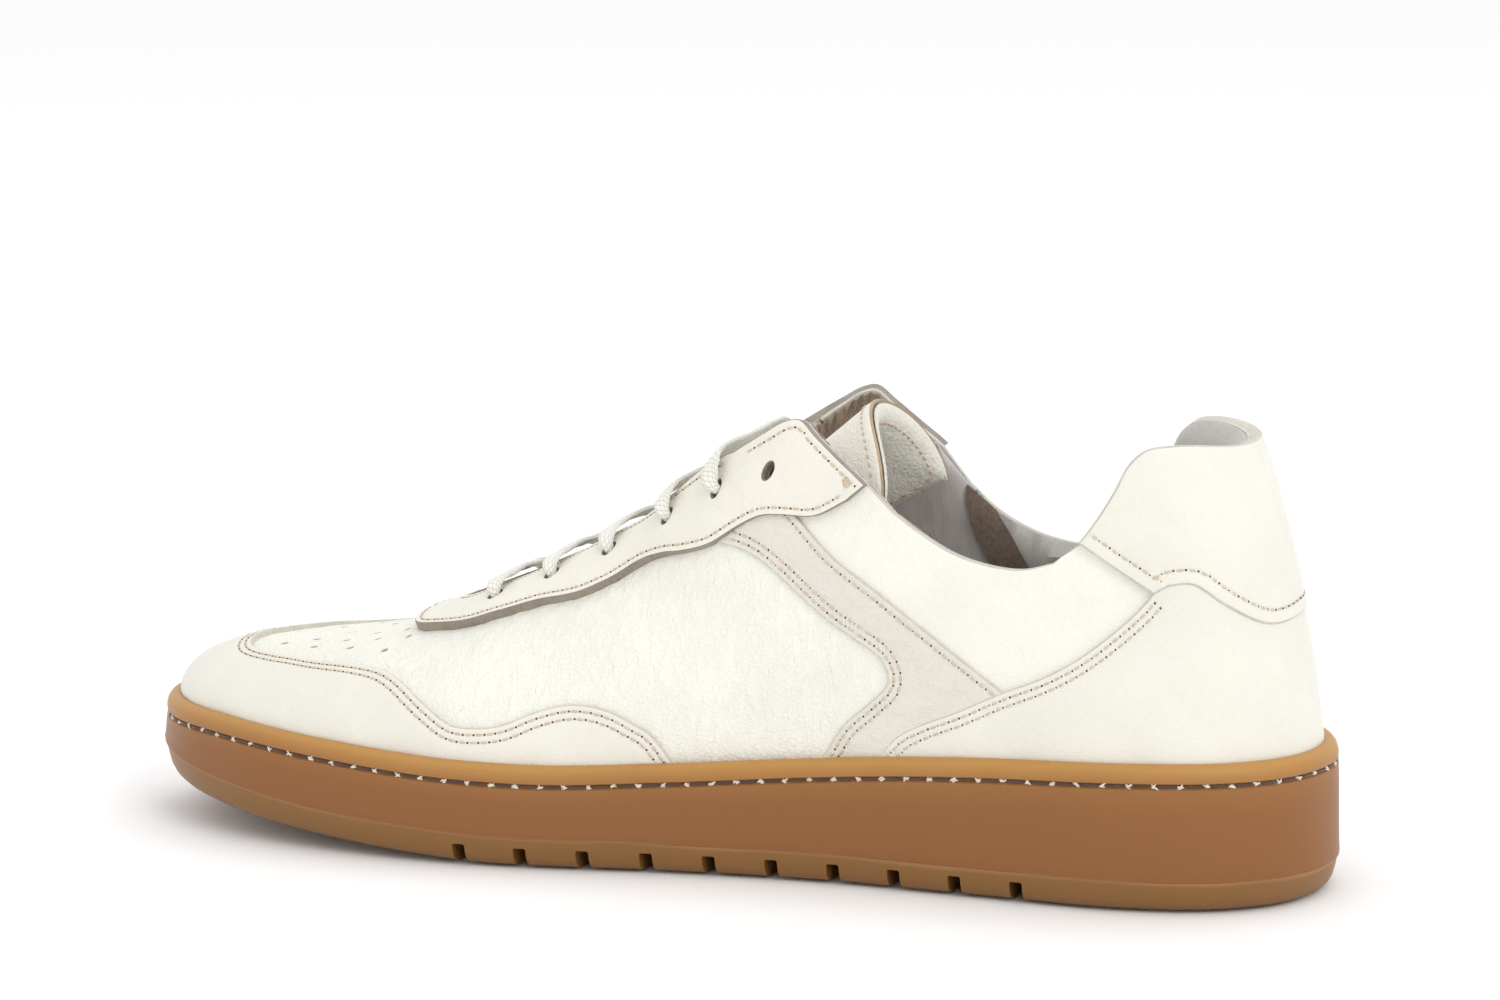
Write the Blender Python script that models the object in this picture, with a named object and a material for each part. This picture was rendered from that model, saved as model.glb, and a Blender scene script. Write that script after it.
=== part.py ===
"""Low court shoe, right foot: gum cupsole, layered leather upper, hinged tongue and one flat lace.

Frame: the toe points to -X, the heel to +X, the inner (medial) side is at -Y, and the sole stands on Z = 0.

The upper is drawn on one smooth surface, the outside of its base leather.  A place on that surface is
(side, run, rise): side is -1 medial or +1 lateral, run goes from the toe tip (0) to the heel back (1)
round the sole, and rise goes from the sole's rim (0) over the wall to the ridge of the foot (1).  Below
the rim, down to the insole, rise is negative.  Every panel is an outline on that surface and a layer:
the distances of its outer and its inner face from it.
"""
import math

import bmesh
import bpy
import numpy as np
from mathutils import Vector
from mathutils.geometry import delaunay_2d_cdt

MM = 0.001
MEDIAL, LATERAL = -1, 1
SIDES = {"medial": MEDIAL, "lateral": LATERAL}

# --- driving dimensions -------------------------------------------------------------------------------
LENGTH = 300 * MM              # outsole, toe tip to heel back
BALL_WIDTH = 107 * MM          # width that the outline's shares are taken of
DRAWN_WIDTH = 107 * MM         # width that the tongue's half widths are given for
TOE_SPRING = 11 * MM           # how far the toe tip is lifted off the ground
SPRING_START = -45 * MM        # where the sole begins to lift, along X

RIM_WALL = 5.2 * MM            # cup wall, from its widest line to its inner face
CUP_FLOOR = 6.5 * MM           # rubber under the foot
WELT_DROP = 4.8 * MM           # stitch groove below the rim
WELT_DEPTH = 0.9 * MM
WELT_WIDTH = 1.8 * MM
PARTING_HEIGHT = 8 * MM        # mould parting line above the ground
TREAD_GROOVES = 10
TREAD_FIRST = -53 * MM         # first and last cross groove, along X
TREAD_LAST = 82.4 * MM
TREAD_WIDTH = 3.5 * MM
TREAD_DEPTH = 5.2 * MM

LEATHER = 1.4 * MM             # base leather: vamp and quarters
OVERLAY = 1.3 * MM             # stripe, toe guard, heel foxing
STAY = 2.2 * MM                # thick leather of the lace stay
HEEL_TAB = 1.9 * MM
STIFFENER = 0.8 * MM           # toe puff and heel counter
STIFFENER_ROOM = 1.1 * MM      # space left for them between leather and lining
LINING = 1.0 * MM
GAP = 0.3 * MM                 # between pieces that touch
LAYER_GAP = 0.6 * MM           # between curved layers, where facets differ
COLLAR_PAD = 5.5 * MM          # how far the padded lining stands in from the plain one
FOAM_SHARE = 0.72              # part of that space which the foam fills

BOARD = 1.6 * MM
SOCK = 4.0 * MM
TONGUE_PAD = 4.0 * MM
TONGUE_LEATHER = 1.3 * MM
TONGUE_LINING = 1.0 * MM

LACE_WIDTH = 5.6 * MM
LACE_THICKNESS = 1.5 * MM
EYELET_ROOM = 2.3 * MM         # what a punched hole has beyond the lace's thickness
TURN_ROOM = 2.6 * MM           # what the lining's hole has beyond that, where the lace turns
EYELET = LACE_THICKNESS + EYELET_ROOM
LINING_EYELET = EYELET + TURN_ROOM
EYELET_ROWS = 6
LACED_ROWS = 5
PERFORATION = 1.6 * MM

# --- the sole's outline: (share of the length from the toe, share of half the ball width) ---------------
MEDIAL_OUTLINE = [(0.0, -0.10), (0.012, -0.36), (0.05, -0.63), (0.12, -0.84), (0.20, -0.93), (0.285, -0.95),
                  (0.38, -0.90), (0.50, -0.77), (0.62, -0.70), (0.74, -0.715), (0.85, -0.72), (0.93, -0.60),
                  (0.98, -0.36), (1.0, 0.0)]
LATERAL_OUTLINE = [(0.010, 0.14), (0.045, 0.43), (0.11, 0.70), (0.20, 0.92), (0.31, 1.04), (0.40, 1.03),
                   (0.52, 0.92), (0.64, 0.82), (0.76, 0.765), (0.86, 0.735), (0.935, 0.60), (0.98, 0.36)]
OUTLINE_STEPS = 24             # points between two control points

# --- curves along the shoe, in metres: (x, value) --------------------------------------------------------
RIM_HEIGHT = [(-0.150, 0.0300), (-0.120, 0.0302), (-0.090, 0.0279), (-0.053, 0.0254), (-0.033, 0.0252),
              (-0.005, 0.0267), (0.030, 0.0298), (0.063, 0.0327), (0.100, 0.0345), (0.150, 0.0352)]
BOARD_HEIGHT = [(-0.150, 0.0235), (-0.100, 0.0165), (-0.050, 0.0135), (0.0, 0.0150), (0.050, 0.0190),
                (0.100, 0.0215), (0.150, 0.0220)]
RIDGE_HEIGHT = [(-0.105, 0.0445), (-0.090, 0.0468), (-0.075, 0.0520), (-0.053, 0.0612), (-0.032, 0.0720),
                (-0.011, 0.0865), (0.005, 0.1060), (0.020, 0.1300), (0.035, 0.1400), (0.080, 0.1420)]
RIDGE_OFFSET = [(-0.105, -0.0060), (-0.060, -0.0060), (0.0, -0.0050), (0.040, -0.0030), (0.080, -0.0020)]
RIDGE_BEHIND = [(-0.145, -0.105), (-0.125, -0.099), (-0.100, -0.087), (-0.070, -0.066), (-0.030, -0.030),
                (0.020, 0.019), (0.060, 0.052), (0.095, 0.067), (0.125, 0.076), (0.145, 0.080)]
FULLNESS = [(-0.105, 1.0), (-0.030, 1.0), (0.010, 0.72), (0.030, 0.60), (0.080, 0.60)]
HEEL_LEAN = [(0.60, 0.0), (0.80, 0.06), (0.92, 0.14), (1.0, 0.26)]     # (run, straight share of the lean)

# --- panel edges -----------------------------------------------------------------------------------------
# in side elevation, in metres: (x, z)
TOE_GUARD_EDGE = [(-0.1218, 0.0419), (-0.1127, 0.0420), (-0.1027, 0.0423), (-0.0918, 0.0428),
                  (-0.0811, 0.0432), (-0.0764, 0.0428), (-0.0714, 0.0413), (-0.0634, 0.0369),
                  (-0.0564, 0.0332), (-0.0500, 0.0329), (-0.0440, 0.0339), (-0.0368, 0.0370),
                  (-0.0297, 0.0392), (-0.0237, 0.0395), (-0.0177, 0.0382), (-0.0123, 0.0357),
                  (-0.0080, 0.0333)]
TOE_GUARD_REAR = -0.0020       # where its edge meets the rim
TOE_GUARD_FRONT = 0.68         # rise of its edge at the toe tip
STRIPE_FRONT = [(0.0125, 0.0818), (0.0210, 0.0734), (0.0325, 0.0640), (0.0415, 0.0584), (0.0480, 0.0540),
                (0.0498, 0.0495), (0.0449, 0.0437), (0.0385, 0.0378)]
STRIPE_FRONT_FOOT = 0.0324     # where its front edge meets the rim
STRIPE_REAR = [(0.0245, 0.0858), (0.0348, 0.0779), (0.0477, 0.0692), (0.0605, 0.0605), (0.0765, 0.0496)]
FOXING_EDGE = [(0.0512, 0.0356), (0.0569, 0.0392), (0.0669, 0.0436), (0.0773, 0.0487), (0.0869, 0.0529),
               (0.0946, 0.0574), (0.1019, 0.0632), (0.1077, 0.0686), (0.1112, 0.0727)]
FOXING_FOOT = 0.0460
SEAM = [(0.0180, 0.0835), (0.0290, 0.0745), (0.0410, 0.0660), (0.0520, 0.0585), (0.0570, 0.0510),
        (0.0540, 0.0440), (0.0480, 0.0370)]       # vamp to quarter, under the stripe
SEAM_FOOT = 0.0420
HEEL_TAB_FRONT = [(0.0944, 0.0847), (0.1033, 0.0790), (0.1120, 0.0735)]
HEEL_TAB_LOWER = [(0.1152, 0.0754), (0.1201, 0.0756), (0.1267, 0.0707), (0.1340, 0.0658)]
HEEL_TAB_BACK = 0.0652         # height of its lower edge at the heel back
TOPLINE = {MEDIAL: [(0.0499, 0.0885), (0.0562, 0.0845), (0.0637, 0.0806), (0.0723, 0.0782),
                    (0.0808, 0.0776), (0.0885, 0.0796)],
           LATERAL: [(0.0499, 0.0858), (0.0562, 0.0805), (0.0637, 0.0762), (0.0723, 0.0735),
                     (0.0808, 0.0730), (0.0885, 0.0762)]}
COLLAR_FRONT = {MEDIAL: (0.0944, 0.0842), LATERAL: (0.0944, 0.0825)}
COLLAR_EDGE = [(0.0991, 0.0912), (0.1022, 0.0969), (0.1046, 0.1022), (0.1082, 0.1058), (0.1130, 0.1068),
               (0.1176, 0.1068), (0.1240, 0.1060)]
COLLAR_BACK = 0.1050           # height of the collar's edge at the heel back
LINING_SEAM = [(0.0520, 0.0850), (0.0575, 0.0750), (0.0650, 0.0620), (0.0730, 0.0480), (0.0770, 0.0400)]
LINING_SEAM_FOOT = 0.0800
BAND_HALF = 0.0050             # half width of the suede band over the lining seam, along X
BAND_THICKNESS = 1.0 * MM

# on the upper, as (x, rise)
THROAT_EDGE = [(-0.0640, 0.920), (-0.0550, 0.905), (-0.0400, 0.885), (-0.0250, 0.865), (-0.0100, 0.825),
               (0.0020, 0.730), (0.0090, 0.640)]
THROAT_FRONT = -0.0690         # front end of the throat, on the ridge
STAY_PEAK = [(0.0135, 0.600), (0.0180, 0.572), (0.0225, 0.560), (0.0262, 0.545), (0.0301, 0.500),
             (0.0366, 0.440), (0.0430, 0.390)]
STAY_LOWER = [(0.0385, 0.370), (0.0307, 0.358), (0.0231, 0.378), (0.0168, 0.406), (0.0107, 0.430),
              (0.0041, 0.455), (-0.0024, 0.500), (-0.0080, 0.550), (-0.0135, 0.582), (-0.0222, 0.575),
              (-0.0292, 0.570), (-0.0410, 0.615), (-0.0518, 0.630), (-0.0600, 0.640), (-0.0690, 0.680)]
STAY_TIP = -0.0800             # front end of the lace stay, on the ridge
STAY_TIP_ROUND = [(-0.0755, 0.740), (-0.0785, 0.840)]
EYELETS = [(-0.0550, 0.770), (-0.0397, 0.757), (-0.0243, 0.737), (-0.0082, 0.692), (0.0055, 0.590),
           (0.0190, 0.480)]    # front to top
PERFORATIONS = [(-0.0776, 0.70), (-0.0816, 0.60), (-0.0811, 0.82), (-0.0879, 0.77), (-0.0931, 0.68),
                (-0.0919, 0.91), (-0.0979, 0.81), (-0.1047, 0.71), (-0.1072, 0.82), (-0.1146, 0.71)]
PUFF_BACK = -0.0980            # toe puff's rear edge on the ridge
COUNTER_FRONT = 0.0700         # heel counter's front end, along X
COUNTER_TOP = 0.0620

# the tongue: its ridge in side elevation, and its half width and arch depth along X
TONGUE_RIDGE = [(-0.0720, 0.0445), (-0.0500, 0.0535), (-0.0300, 0.0625), (-0.0100, 0.0740),
                (0.0100, 0.0890), (0.0225, 0.0995), (0.0360, 0.1110)]
TONGUE_HALF = [(-0.072, 0.0110), (-0.050, 0.0130), (-0.030, 0.0150), (-0.010, 0.0170), (0.010, 0.0200),
               (0.036, 0.0222)]
TONGUE_ARCH = [(-0.072, 0.0030), (-0.050, 0.0050), (-0.030, 0.0080), (-0.010, 0.0130), (0.010, 0.0190),
               (0.036, 0.0255)]
TONGUE_TURN = math.radians(80)  # how far the arch turns from its ridge to its edge
FACING_DEPTH = 26 * MM          # leather facing inside the tongue's top

# the lace: straight bars over the throat; its two tails go down inside the shoe and forward to the toe
LACE_TAILS = {MEDIAL: 3, LATERAL: 4}      # the row where each side's tail goes in
TAIL_FLOOR = 9.5 * MM           # height of the tail's middle over the insole board
TAIL_ROUTE = {MEDIAL: [(-0.0085, 0.0560), (-0.0100, 0.0470), (-0.0135, 0.0380), (-0.0190, 0.0310)],
              LATERAL: [(0.0060, 0.0720), (0.0055, 0.0600), (0.0040, 0.0500), (0.0005, 0.0410),
                        (-0.0055, 0.0340), (-0.0140, 0.0285)]}      # (x, z) down the wall
TAIL_FORWARD = [-0.0300, -0.0420, -0.0540, -0.0660, -0.0780, -0.0890]    # x along the floor
AGLET_LENGTH = 15 * MM
AGLET_DIAMETER = 3.0 * MM
AGLET_TOE_IN = math.radians(8)  # turned in from the last of the tail, as the toe's wall is


# --- curves and the upper's surface ----------------------------------------------------------------------
def curve(points, at):
    """Smooth curve through (place, value) points, level beyond its two ends."""
    places, values = np.array(points, float).T
    slopes = np.gradient(values, places)
    at = np.clip(np.asarray(at, float), places[0], places[-1])
    i = np.clip(np.searchsorted(places, at, side="right") - 1, 0, len(places) - 2)
    step = places[i + 1] - places[i]
    t = (at - places[i]) / step
    return ((1 + 2 * t) * (1 - t) ** 2 * values[i] + t * (1 - t) ** 2 * step * slopes[i]
            + t * t * (3 - 2 * t) * values[i + 1] + t * t * (t - 1) * step * slopes[i + 1])


def smooth_path(points, steps, closed=False):
    """Centripetal Catmull-Rom curve through points, with so many steps between each two."""
    points = np.array(points, float)
    count = len(points)
    if not closed:
        first, last = 2 * points[0] - points[1], 2 * points[-1] - points[-2]
        points = np.vstack([first, points, last])
    out = []
    for i in range(count if closed else count - 1):
        if closed:
            p = [points[(i + k - 1) % count] for k in range(4)]
        else:
            p = list(points[i:i + 4])
        knots = np.cumsum([0] + [math.sqrt(np.linalg.norm(p[k + 1] - p[k])) for k in range(3)])
        t = np.linspace(knots[1], knots[2], steps, endpoint=False)[:, None]

        def between(a, b, ka, kb):
            return (kb - t) / (kb - ka) * a + (t - ka) / (kb - ka) * b

        a1, a2, a3 = (between(p[k], p[k + 1], knots[k], knots[k + 1]) for k in range(3))
        b1 = between(a1, a2, knots[0], knots[2])
        b2 = between(a2, a3, knots[1], knots[3])
        out.append(between(b1, b2, knots[1], knots[2]))
    if not closed:
        out.append(points[-2][None])
    return np.concatenate(out)


def outline_sides():
    """The sole's widest line, as one path from toe tip to heel back for each side, with its normals."""
    shares = np.array(MEDIAL_OUTLINE + LATERAL_OUTLINE[::-1])
    points = np.column_stack([(shares[:, 0] - 0.5) * LENGTH, shares[:, 1] * BALL_WIDTH / 2])
    loop = smooth_path(points, OUTLINE_STEPS, closed=True)
    loop -= (loop.max(0) + loop.min(0)) / 2
    turn = (len(MEDIAL_OUTLINE) - 1) * OUTLINE_STEPS
    paths = {MEDIAL: loop[:turn + 1], LATERAL: np.vstack([loop[:1], loop[:turn - 1:-1]])}
    sides = {}
    for side, path in paths.items():
        along = np.gradient(path, axis=0)
        along[0] = along[-1] = (0, 0)
        along[0, 1] = side
        along[-1, 1] = -side
        along /= np.linalg.norm(along, axis=1)[:, None]
        outward = np.column_stack([-along[:, 1], along[:, 0]]) * side
        run = np.concatenate([[0], np.cumsum(np.linalg.norm(np.diff(path, axis=0), axis=1))])
        sides[side] = (path, outward, run / run[-1])
    return sides


OUTLINE = outline_sides()
UPPER_INSET = RIM_WALL + GAP   # the base leather's outside, inside the widest line
LOW_RISE = -0.25               # rise at the upper's bottom edge


def wall(side, run, inset=0.0):
    """Plan position(s) of the sole's wall, so far inside its widest line."""
    path, outward, runs = OUTLINE[side]
    line = path - outward * inset
    return np.stack([np.interp(run, runs, line[:, 0]), np.interp(run, runs, line[:, 1])], -1)


def ground(x):
    """Height of the tread's underside: flat, then lifting to the toe."""
    share = np.clip((SPRING_START - np.asarray(x, float)) / (LENGTH / 2 + SPRING_START), 0, None)
    return TOE_SPRING * share ** 1.4


def upper(side, run, rise):
    """Point(s) on the outside of the base leather."""
    run, rise = np.broadcast_arrays(np.asarray(run, float), np.asarray(rise, float))
    foot = wall(side, run, UPPER_INSET)
    rim = curve(RIM_HEIGHT, foot[..., 0])
    low = curve(BOARD_HEIGHT, foot[..., 0]) + GAP
    ridge_x = curve(RIDGE_BEHIND, foot[..., 0])
    ridge_y = curve(RIDGE_OFFSET, ridge_x)
    ridge_z = curve(RIDGE_HEIGHT, ridge_x)
    angle = np.clip(rise, 0, 1) * math.pi / 2
    up = np.sin(angle)
    lean = curve(HEEL_LEAN, run)
    fullness = curve(FULLNESS, ridge_x)
    inward = lean * up + (1 - lean) * (1 - np.clip(np.cos(angle), 0, 1) ** fullness)
    x = foot[..., 0] + (ridge_x - foot[..., 0]) * inward
    y = foot[..., 1] + (ridge_y - foot[..., 1]) * inward
    below = np.clip(rise / LOW_RISE, 0, 1)
    z = rim + (ridge_z - rim) * up - (rim - low) * below
    return np.stack([x, y, z], -1)


def outward(side, run, rise):
    """Unit normal(s) of the upper's surface, pointing out of the shoe."""
    step = 0.004
    run = np.clip(run, step, 1 - step)
    rise = np.clip(rise, LOW_RISE, 1 - step)
    along = upper(side, run + step, rise) - upper(side, run - step, rise)
    across = upper(side, run, rise + step) - upper(side, run, rise - step)
    normal = np.cross(along, across) * -side
    return normal / np.linalg.norm(normal, axis=-1, keepdims=True)


SEARCH_RUNS = np.linspace(0, 1, 161)
SEARCH_RISES = np.linspace(0, 1, 61)
SEARCH = {side: upper(side, SEARCH_RUNS[:, None], SEARCH_RISES[None]) for side in SIDES.values()}


def find(side, x, z):
    """The (run, rise) where the surface has this x and this z."""
    pick = [0, 2]
    goal = np.array([x, z])
    miss = np.linalg.norm(SEARCH[side][..., pick] - goal, axis=-1)
    i, j = np.unravel_index(np.argmin(miss), miss.shape)
    place = np.array([SEARCH_RUNS[i], SEARCH_RISES[j]])
    step = 1e-4
    for _ in range(12):
        here = upper(side, *place)[pick]
        jacobian = np.column_stack([(upper(side, place[0] + step, place[1])[pick] - here) / step,
                                    (upper(side, place[0], place[1] + step)[pick] - here) / step])
        if abs(np.linalg.det(jacobian)) < 1e-9:
            break
        move = np.linalg.solve(jacobian, goal - here)
        place = np.clip(place + np.clip(move, -0.05, 0.05), 0.0, 1.0)
    return tuple(place)


def in_side_view(side, points):
    return [find(side, x, z) for x, z in points]


def at_rise(side, points):
    """Places for (x, rise) points."""
    runs = np.linspace(0, 1, 400)
    return [(float(np.interp(x, upper(side, runs, rise)[:, 0], runs)), rise) for x, rise in points]


def at_height(side, run, z):
    """The rise at which the surface has this height, for this run."""
    rises = np.linspace(0, 1, 200)
    return float(np.interp(z, upper(side, run, rises)[:, 2], rises))


def ridge_run(side, x):
    """The run whose section ends at this x on the ridge line."""
    runs = np.linspace(0, 1, 400)
    return float(np.interp(x, curve(RIDGE_BEHIND, wall(side, runs, UPPER_INSET)[:, 0]), runs))


# --- mesh helpers ----------------------------------------------------------------------------------------
EVEN = np.linspace(0, 1, 37)
RUN_LATTICE = 0.45 * (0.5 - 0.5 * np.cos(math.pi * EVEN)) + 0.55 * EVEN    # closer at both ends
RIDGE_FRONT = RIDGE_BEHIND[0][1]
RIDGE_STATIONS = np.arange(RIDGE_FRONT, -40 * MM, 6 * MM)
RISE_LATTICE = [-0.25, 0.0, 0.12, 0.24, 0.36, 0.48, 0.60, 0.72, 0.84, 0.93, 1.0]
RUN_SCALE, RISE_SCALE = 350.0, 78.0     # makes the (run, rise) plane roughly true to millimetres
LONGEST_EDGE = 7.0                      # of an outline, in that plane


def material(name, colour, roughness, metallic=0.0):
    made = bpy.data.materials.get(name) or bpy.data.materials.new(name)
    made.use_nodes = True
    shader = made.node_tree.nodes["Principled BSDF"]
    shader.inputs["Base Color"].default_value = (*colour, 1.0)
    shader.inputs["Roughness"].default_value = roughness
    shader.inputs["Metallic"].default_value = metallic
    return made


def add_object(name, bm, finish, parent=None, sharp=40):
    """Puts a bmesh into the scene as a named object, in world coordinates."""
    bmesh.ops.recalc_face_normals(bm, faces=bm.faces)
    mesh = bpy.data.meshes.new(name)
    bm.to_mesh(mesh)
    bm.free()
    mesh.shade_smooth()
    mesh.set_sharp_from_angle(angle=math.radians(sharp))
    mesh.materials.append(finish)
    made = bpy.data.objects.new(name, mesh)
    bpy.context.collection.objects.link(made)
    if parent is not None:
        made.parent = parent
        made.matrix_parent_inverse = parent.matrix_world.inverted()
    return made


def inside(polygon, point):
    x, y = point
    crossed = False
    for (ax, ay), (bx, by) in zip(polygon, polygon[1:] + polygon[:1]):
        if (ay > y) != (by > y) and x < (bx - ax) * (y - ay) / (by - ay) + ax:
            crossed = not crossed
    return crossed


def distance_to(polygon, point):
    p = np.array(point)
    a = np.array(polygon)
    b = np.roll(a, -1, axis=0)
    t = np.clip(((p - a) * (b - a)).sum(1) / np.maximum(((b - a) ** 2).sum(1), 1e-12), 0, 1)
    return np.linalg.norm(a + (b - a) * t[:, None] - p, axis=1).min()


def refined(outline):
    """The outline with its long edges divided, so that its facets follow the shoe; the ridge keeps its own."""
    line = []
    for (run, rise), (next_run, next_rise) in zip(outline, outline[1:] + outline[:1]):
        length = math.hypot((next_run - run) * RUN_SCALE, (next_rise - rise) * RISE_SCALE)
        pieces = 1 if min(rise, next_rise) > 0.999 else max(1, math.ceil(length / LONGEST_EDGE))
        line += [(run + (next_run - run) * k / pieces, rise + (next_rise - rise) * k / pieces)
                 for k in range(pieces)]
    return line


def region(side, outline, holes=()):
    """Triangles covering an outline of (run, rise) points, less its holes."""
    scale = np.array([RUN_SCALE, RISE_SCALE])
    loops = [[tuple(np.array(p) * scale) for p in loop] for loop in (refined(outline), *holes)]
    points, edges = [], []
    for loop in loops:
        start = len(points)
        points += loop
        edges += [(start + k, start + (k + 1) % len(loop)) for k in range(len(loop))]
    for run in RUN_LATTICE:
        for rise in RISE_LATTICE:
            spot = (run * RUN_SCALE, rise * RISE_SCALE)
            if not inside(loops[0], spot) or any(inside(hole, spot) for hole in loops[1:]):
                continue
            if min(distance_to(loop, spot) for loop in loops) > 2.2:
                points.append(spot)
    flat, _, faces, *_ = delaunay_2d_cdt([Vector(p) for p in points], edges, [], 0, 1e-4)
    kept = []
    for face in faces:
        middle = tuple(np.mean([flat[k] for k in face], axis=0))
        if inside(loops[0], middle) and not any(inside(hole, middle) for hole in loops[1:]):
            kept.append(tuple(face))
    places = [(side, p[0] / RUN_SCALE, p[1] / RISE_SCALE) for p in flat]
    return places, kept


def sheet(regions, outer, inner):
    """A closed solid between two layers; outer and inner are distances or functions of a place."""
    bm = bmesh.new()
    depth_of = [value if callable(value) else (lambda *place, fixed=value: fixed) for value in (outer, inner)]
    records, shared = [], []
    for places, faces in regions:
        verts = {}
        for k in sorted({k for face in faces for k in face}):
            side, run, rise = places[k]
            point = upper(side, run, rise)
            joins = rise > 0.999 or run < 0.001 or run > 0.999
            record = next((old for old in shared if (old[0].co - Vector(point)).length < 0.2 * MM), None)
            if record is None or not joins:
                record = [bm.verts.new(point), np.zeros(3), places[k]]
                records.append(record)
                if joins:
                    shared.append(record)
            record[1] += outward(side, run, rise)
            verts[k] = record[0]
        for face in faces:
            corners = [verts[k] for k in face]
            if len(set(corners)) == 3 and not bm.faces.get(corners):
                bm.faces.new(corners)
    bm.verts.index_update()
    normals, places = {}, {}
    for vert, normal, place in records:
        normals[vert] = Vector(normal / np.linalg.norm(normal))
        places[vert] = place
    rims = [edge for edge in bm.edges if len(edge.link_faces) == 1]
    tops = list(bm.verts)
    under = {}
    for vert in tops:
        under[vert] = bm.verts.new(vert.co + normals[vert] * depth_of[1](*places[vert]))
    faces = list(bm.faces)
    for face in faces:
        bm.faces.new([under[v] for v in reversed(face.verts)])
    for edge in rims:
        loop = edge.link_loops[0]
        a, b = loop.vert, loop.link_loop_next.vert
        bm.faces.new([b, a, under[a], under[b]])
    for vert in tops:
        vert.co = vert.co + normals[vert] * depth_of[0](*places[vert])
    return bm


def ladder(bm, medial, lateral, flip):
    """Fills between the two sides' rows of vertices, which share their first and last one."""
    for k in range(len(medial) - 1):
        corners = [medial[k], medial[k + 1], lateral[k + 1], lateral[k]]
        corners = [v for n, v in enumerate(corners) if v not in corners[:n]]
        bm.faces.new(corners[::-1] if flip else corners)


def ring_solid(profile, runs=RUN_LATTICE):
    """A solid of rows round the sole; each row is (inset, height function), from bottom centre to top."""
    bm = bmesh.new()
    rows = []
    for inset, height in profile:
        row = {}
        for side in (MEDIAL, LATERAL):
            plan = wall(side, runs, inset)
            points = np.column_stack([plan, height(plan[:, 0])])
            row[side] = [bm.verts.new(p) for p in points]
        for end in (0, -1):
            bm.verts.remove(row[LATERAL][end])
            row[LATERAL][end] = row[MEDIAL][end]
        rows.append(row)
    for lower, higher in zip(rows, rows[1:]):
        for side in (MEDIAL, LATERAL):
            a, b = lower[side], higher[side]
            for k in range(len(a) - 1):
                quad = [a[k], a[k + 1], b[k + 1], b[k]]
                bm.faces.new(quad if side == MEDIAL else quad[::-1])
    ladder(bm, rows[0][MEDIAL], rows[0][LATERAL], True)
    ladder(bm, rows[-1][MEDIAL], rows[-1][LATERAL], False)
    return bm


def cut(target, cutter):
    """Takes the cutter's volume out of the target for good."""
    modifier = target.modifiers.new("cut", "BOOLEAN")
    modifier.operation = "DIFFERENCE"
    modifier.object = cutter
    depsgraph = bpy.context.evaluated_depsgraph_get()
    result = bpy.data.meshes.new_from_object(target.evaluated_get(depsgraph))
    target.modifiers.remove(modifier)
    target.data = result
    bpy.data.objects.remove(cutter)


# --- outlines --------------------------------------------------------------------------------------------
def runs_between(start, end):
    """Lattice runs strictly between two runs, in the order from start to end."""
    low, high = sorted((start, end))
    chosen = [run for run in RUN_LATTICE if low + 0.006 < run < high - 0.006]
    return chosen if start < end else chosen[::-1]


def low_edge(start, end):
    """The upper's bottom edge from one run to another, both included."""
    return [(run, LOW_RISE) for run in [start, *runs_between(start, end), end]]


def rim_edge(side, start, end, lift=0.6 * MM):
    """A line just above the sole's rim."""
    line = []
    for run in [start, *runs_between(start, end), end]:
        rim = curve(RIM_HEIGHT, wall(side, run, UPPER_INSET)[0])
        line.append((run, at_height(side, run, rim + lift)))
    return line


def up_edge(run, start, end):
    """Up or down one section line, both ends included."""
    low, high = sorted((start, end))
    chosen = [rise for rise in RISE_LATTICE if low + 0.03 < rise < high - 0.03]
    return [(run, rise) for rise in [start, *(chosen if start < end else chosen[::-1]), end]]


def ridge_edge(side, start, end):
    """Along the ridge line from one x to another, both included, at the same places for both sides."""
    low, high = sorted((start, end))
    chosen = [x for x in RIDGE_STATIONS if low + 2 * MM < x < high - 2 * MM]
    return [(ridge_run(side, x), 1.0) for x in [start, *(chosen if start < end else chosen[::-1]), end]]


def foot_run(side, x, rise=0.0):
    return at_rise(side, [(x, rise)])[0][0]


def shifted(points, run):
    return [(place[0] + run, place[1]) for place in points]


def circle(side, place, diameter, corners=8):
    """A round hole about a place, as a loop of places."""
    run, rise = place
    step = 0.002
    along = np.linalg.norm(upper(side, run + step, rise) - upper(side, run - step, rise)) / (2 * step)
    across = np.linalg.norm(upper(side, run, rise + step) - upper(side, run, rise - step)) / (2 * step)
    turns = [2 * math.pi * (k + 0.5) / corners for k in range(corners)]
    return [(run + diameter / 2 * math.cos(t) / along, rise + diameter / 2 * math.sin(t) / across)
            for t in turns]


SEAM_SHARE = 0.0008            # half the gap at a butted seam, as a run


def eyelet_holes(side, rows, diameter=EYELET):
    return [circle(side, place, diameter) for place in at_rise(side, [EYELETS[row] for row in rows])]


def throat_line(side):
    """The throat's edge, from the stay's top seam forward to the throat's front end on the ridge."""
    return at_rise(side, THROAT_EDGE[::-1]) + [(ridge_run(side, THROAT_FRONT), 1.0)]


def collar_line(side):
    """The collar's edge from the topline back to the heel back."""
    heel = (1.0, at_height(side, 1.0, COLLAR_BACK))
    return in_side_view(side, [COLLAR_FRONT[side], *COLLAR_EDGE]) + [heel]


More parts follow.
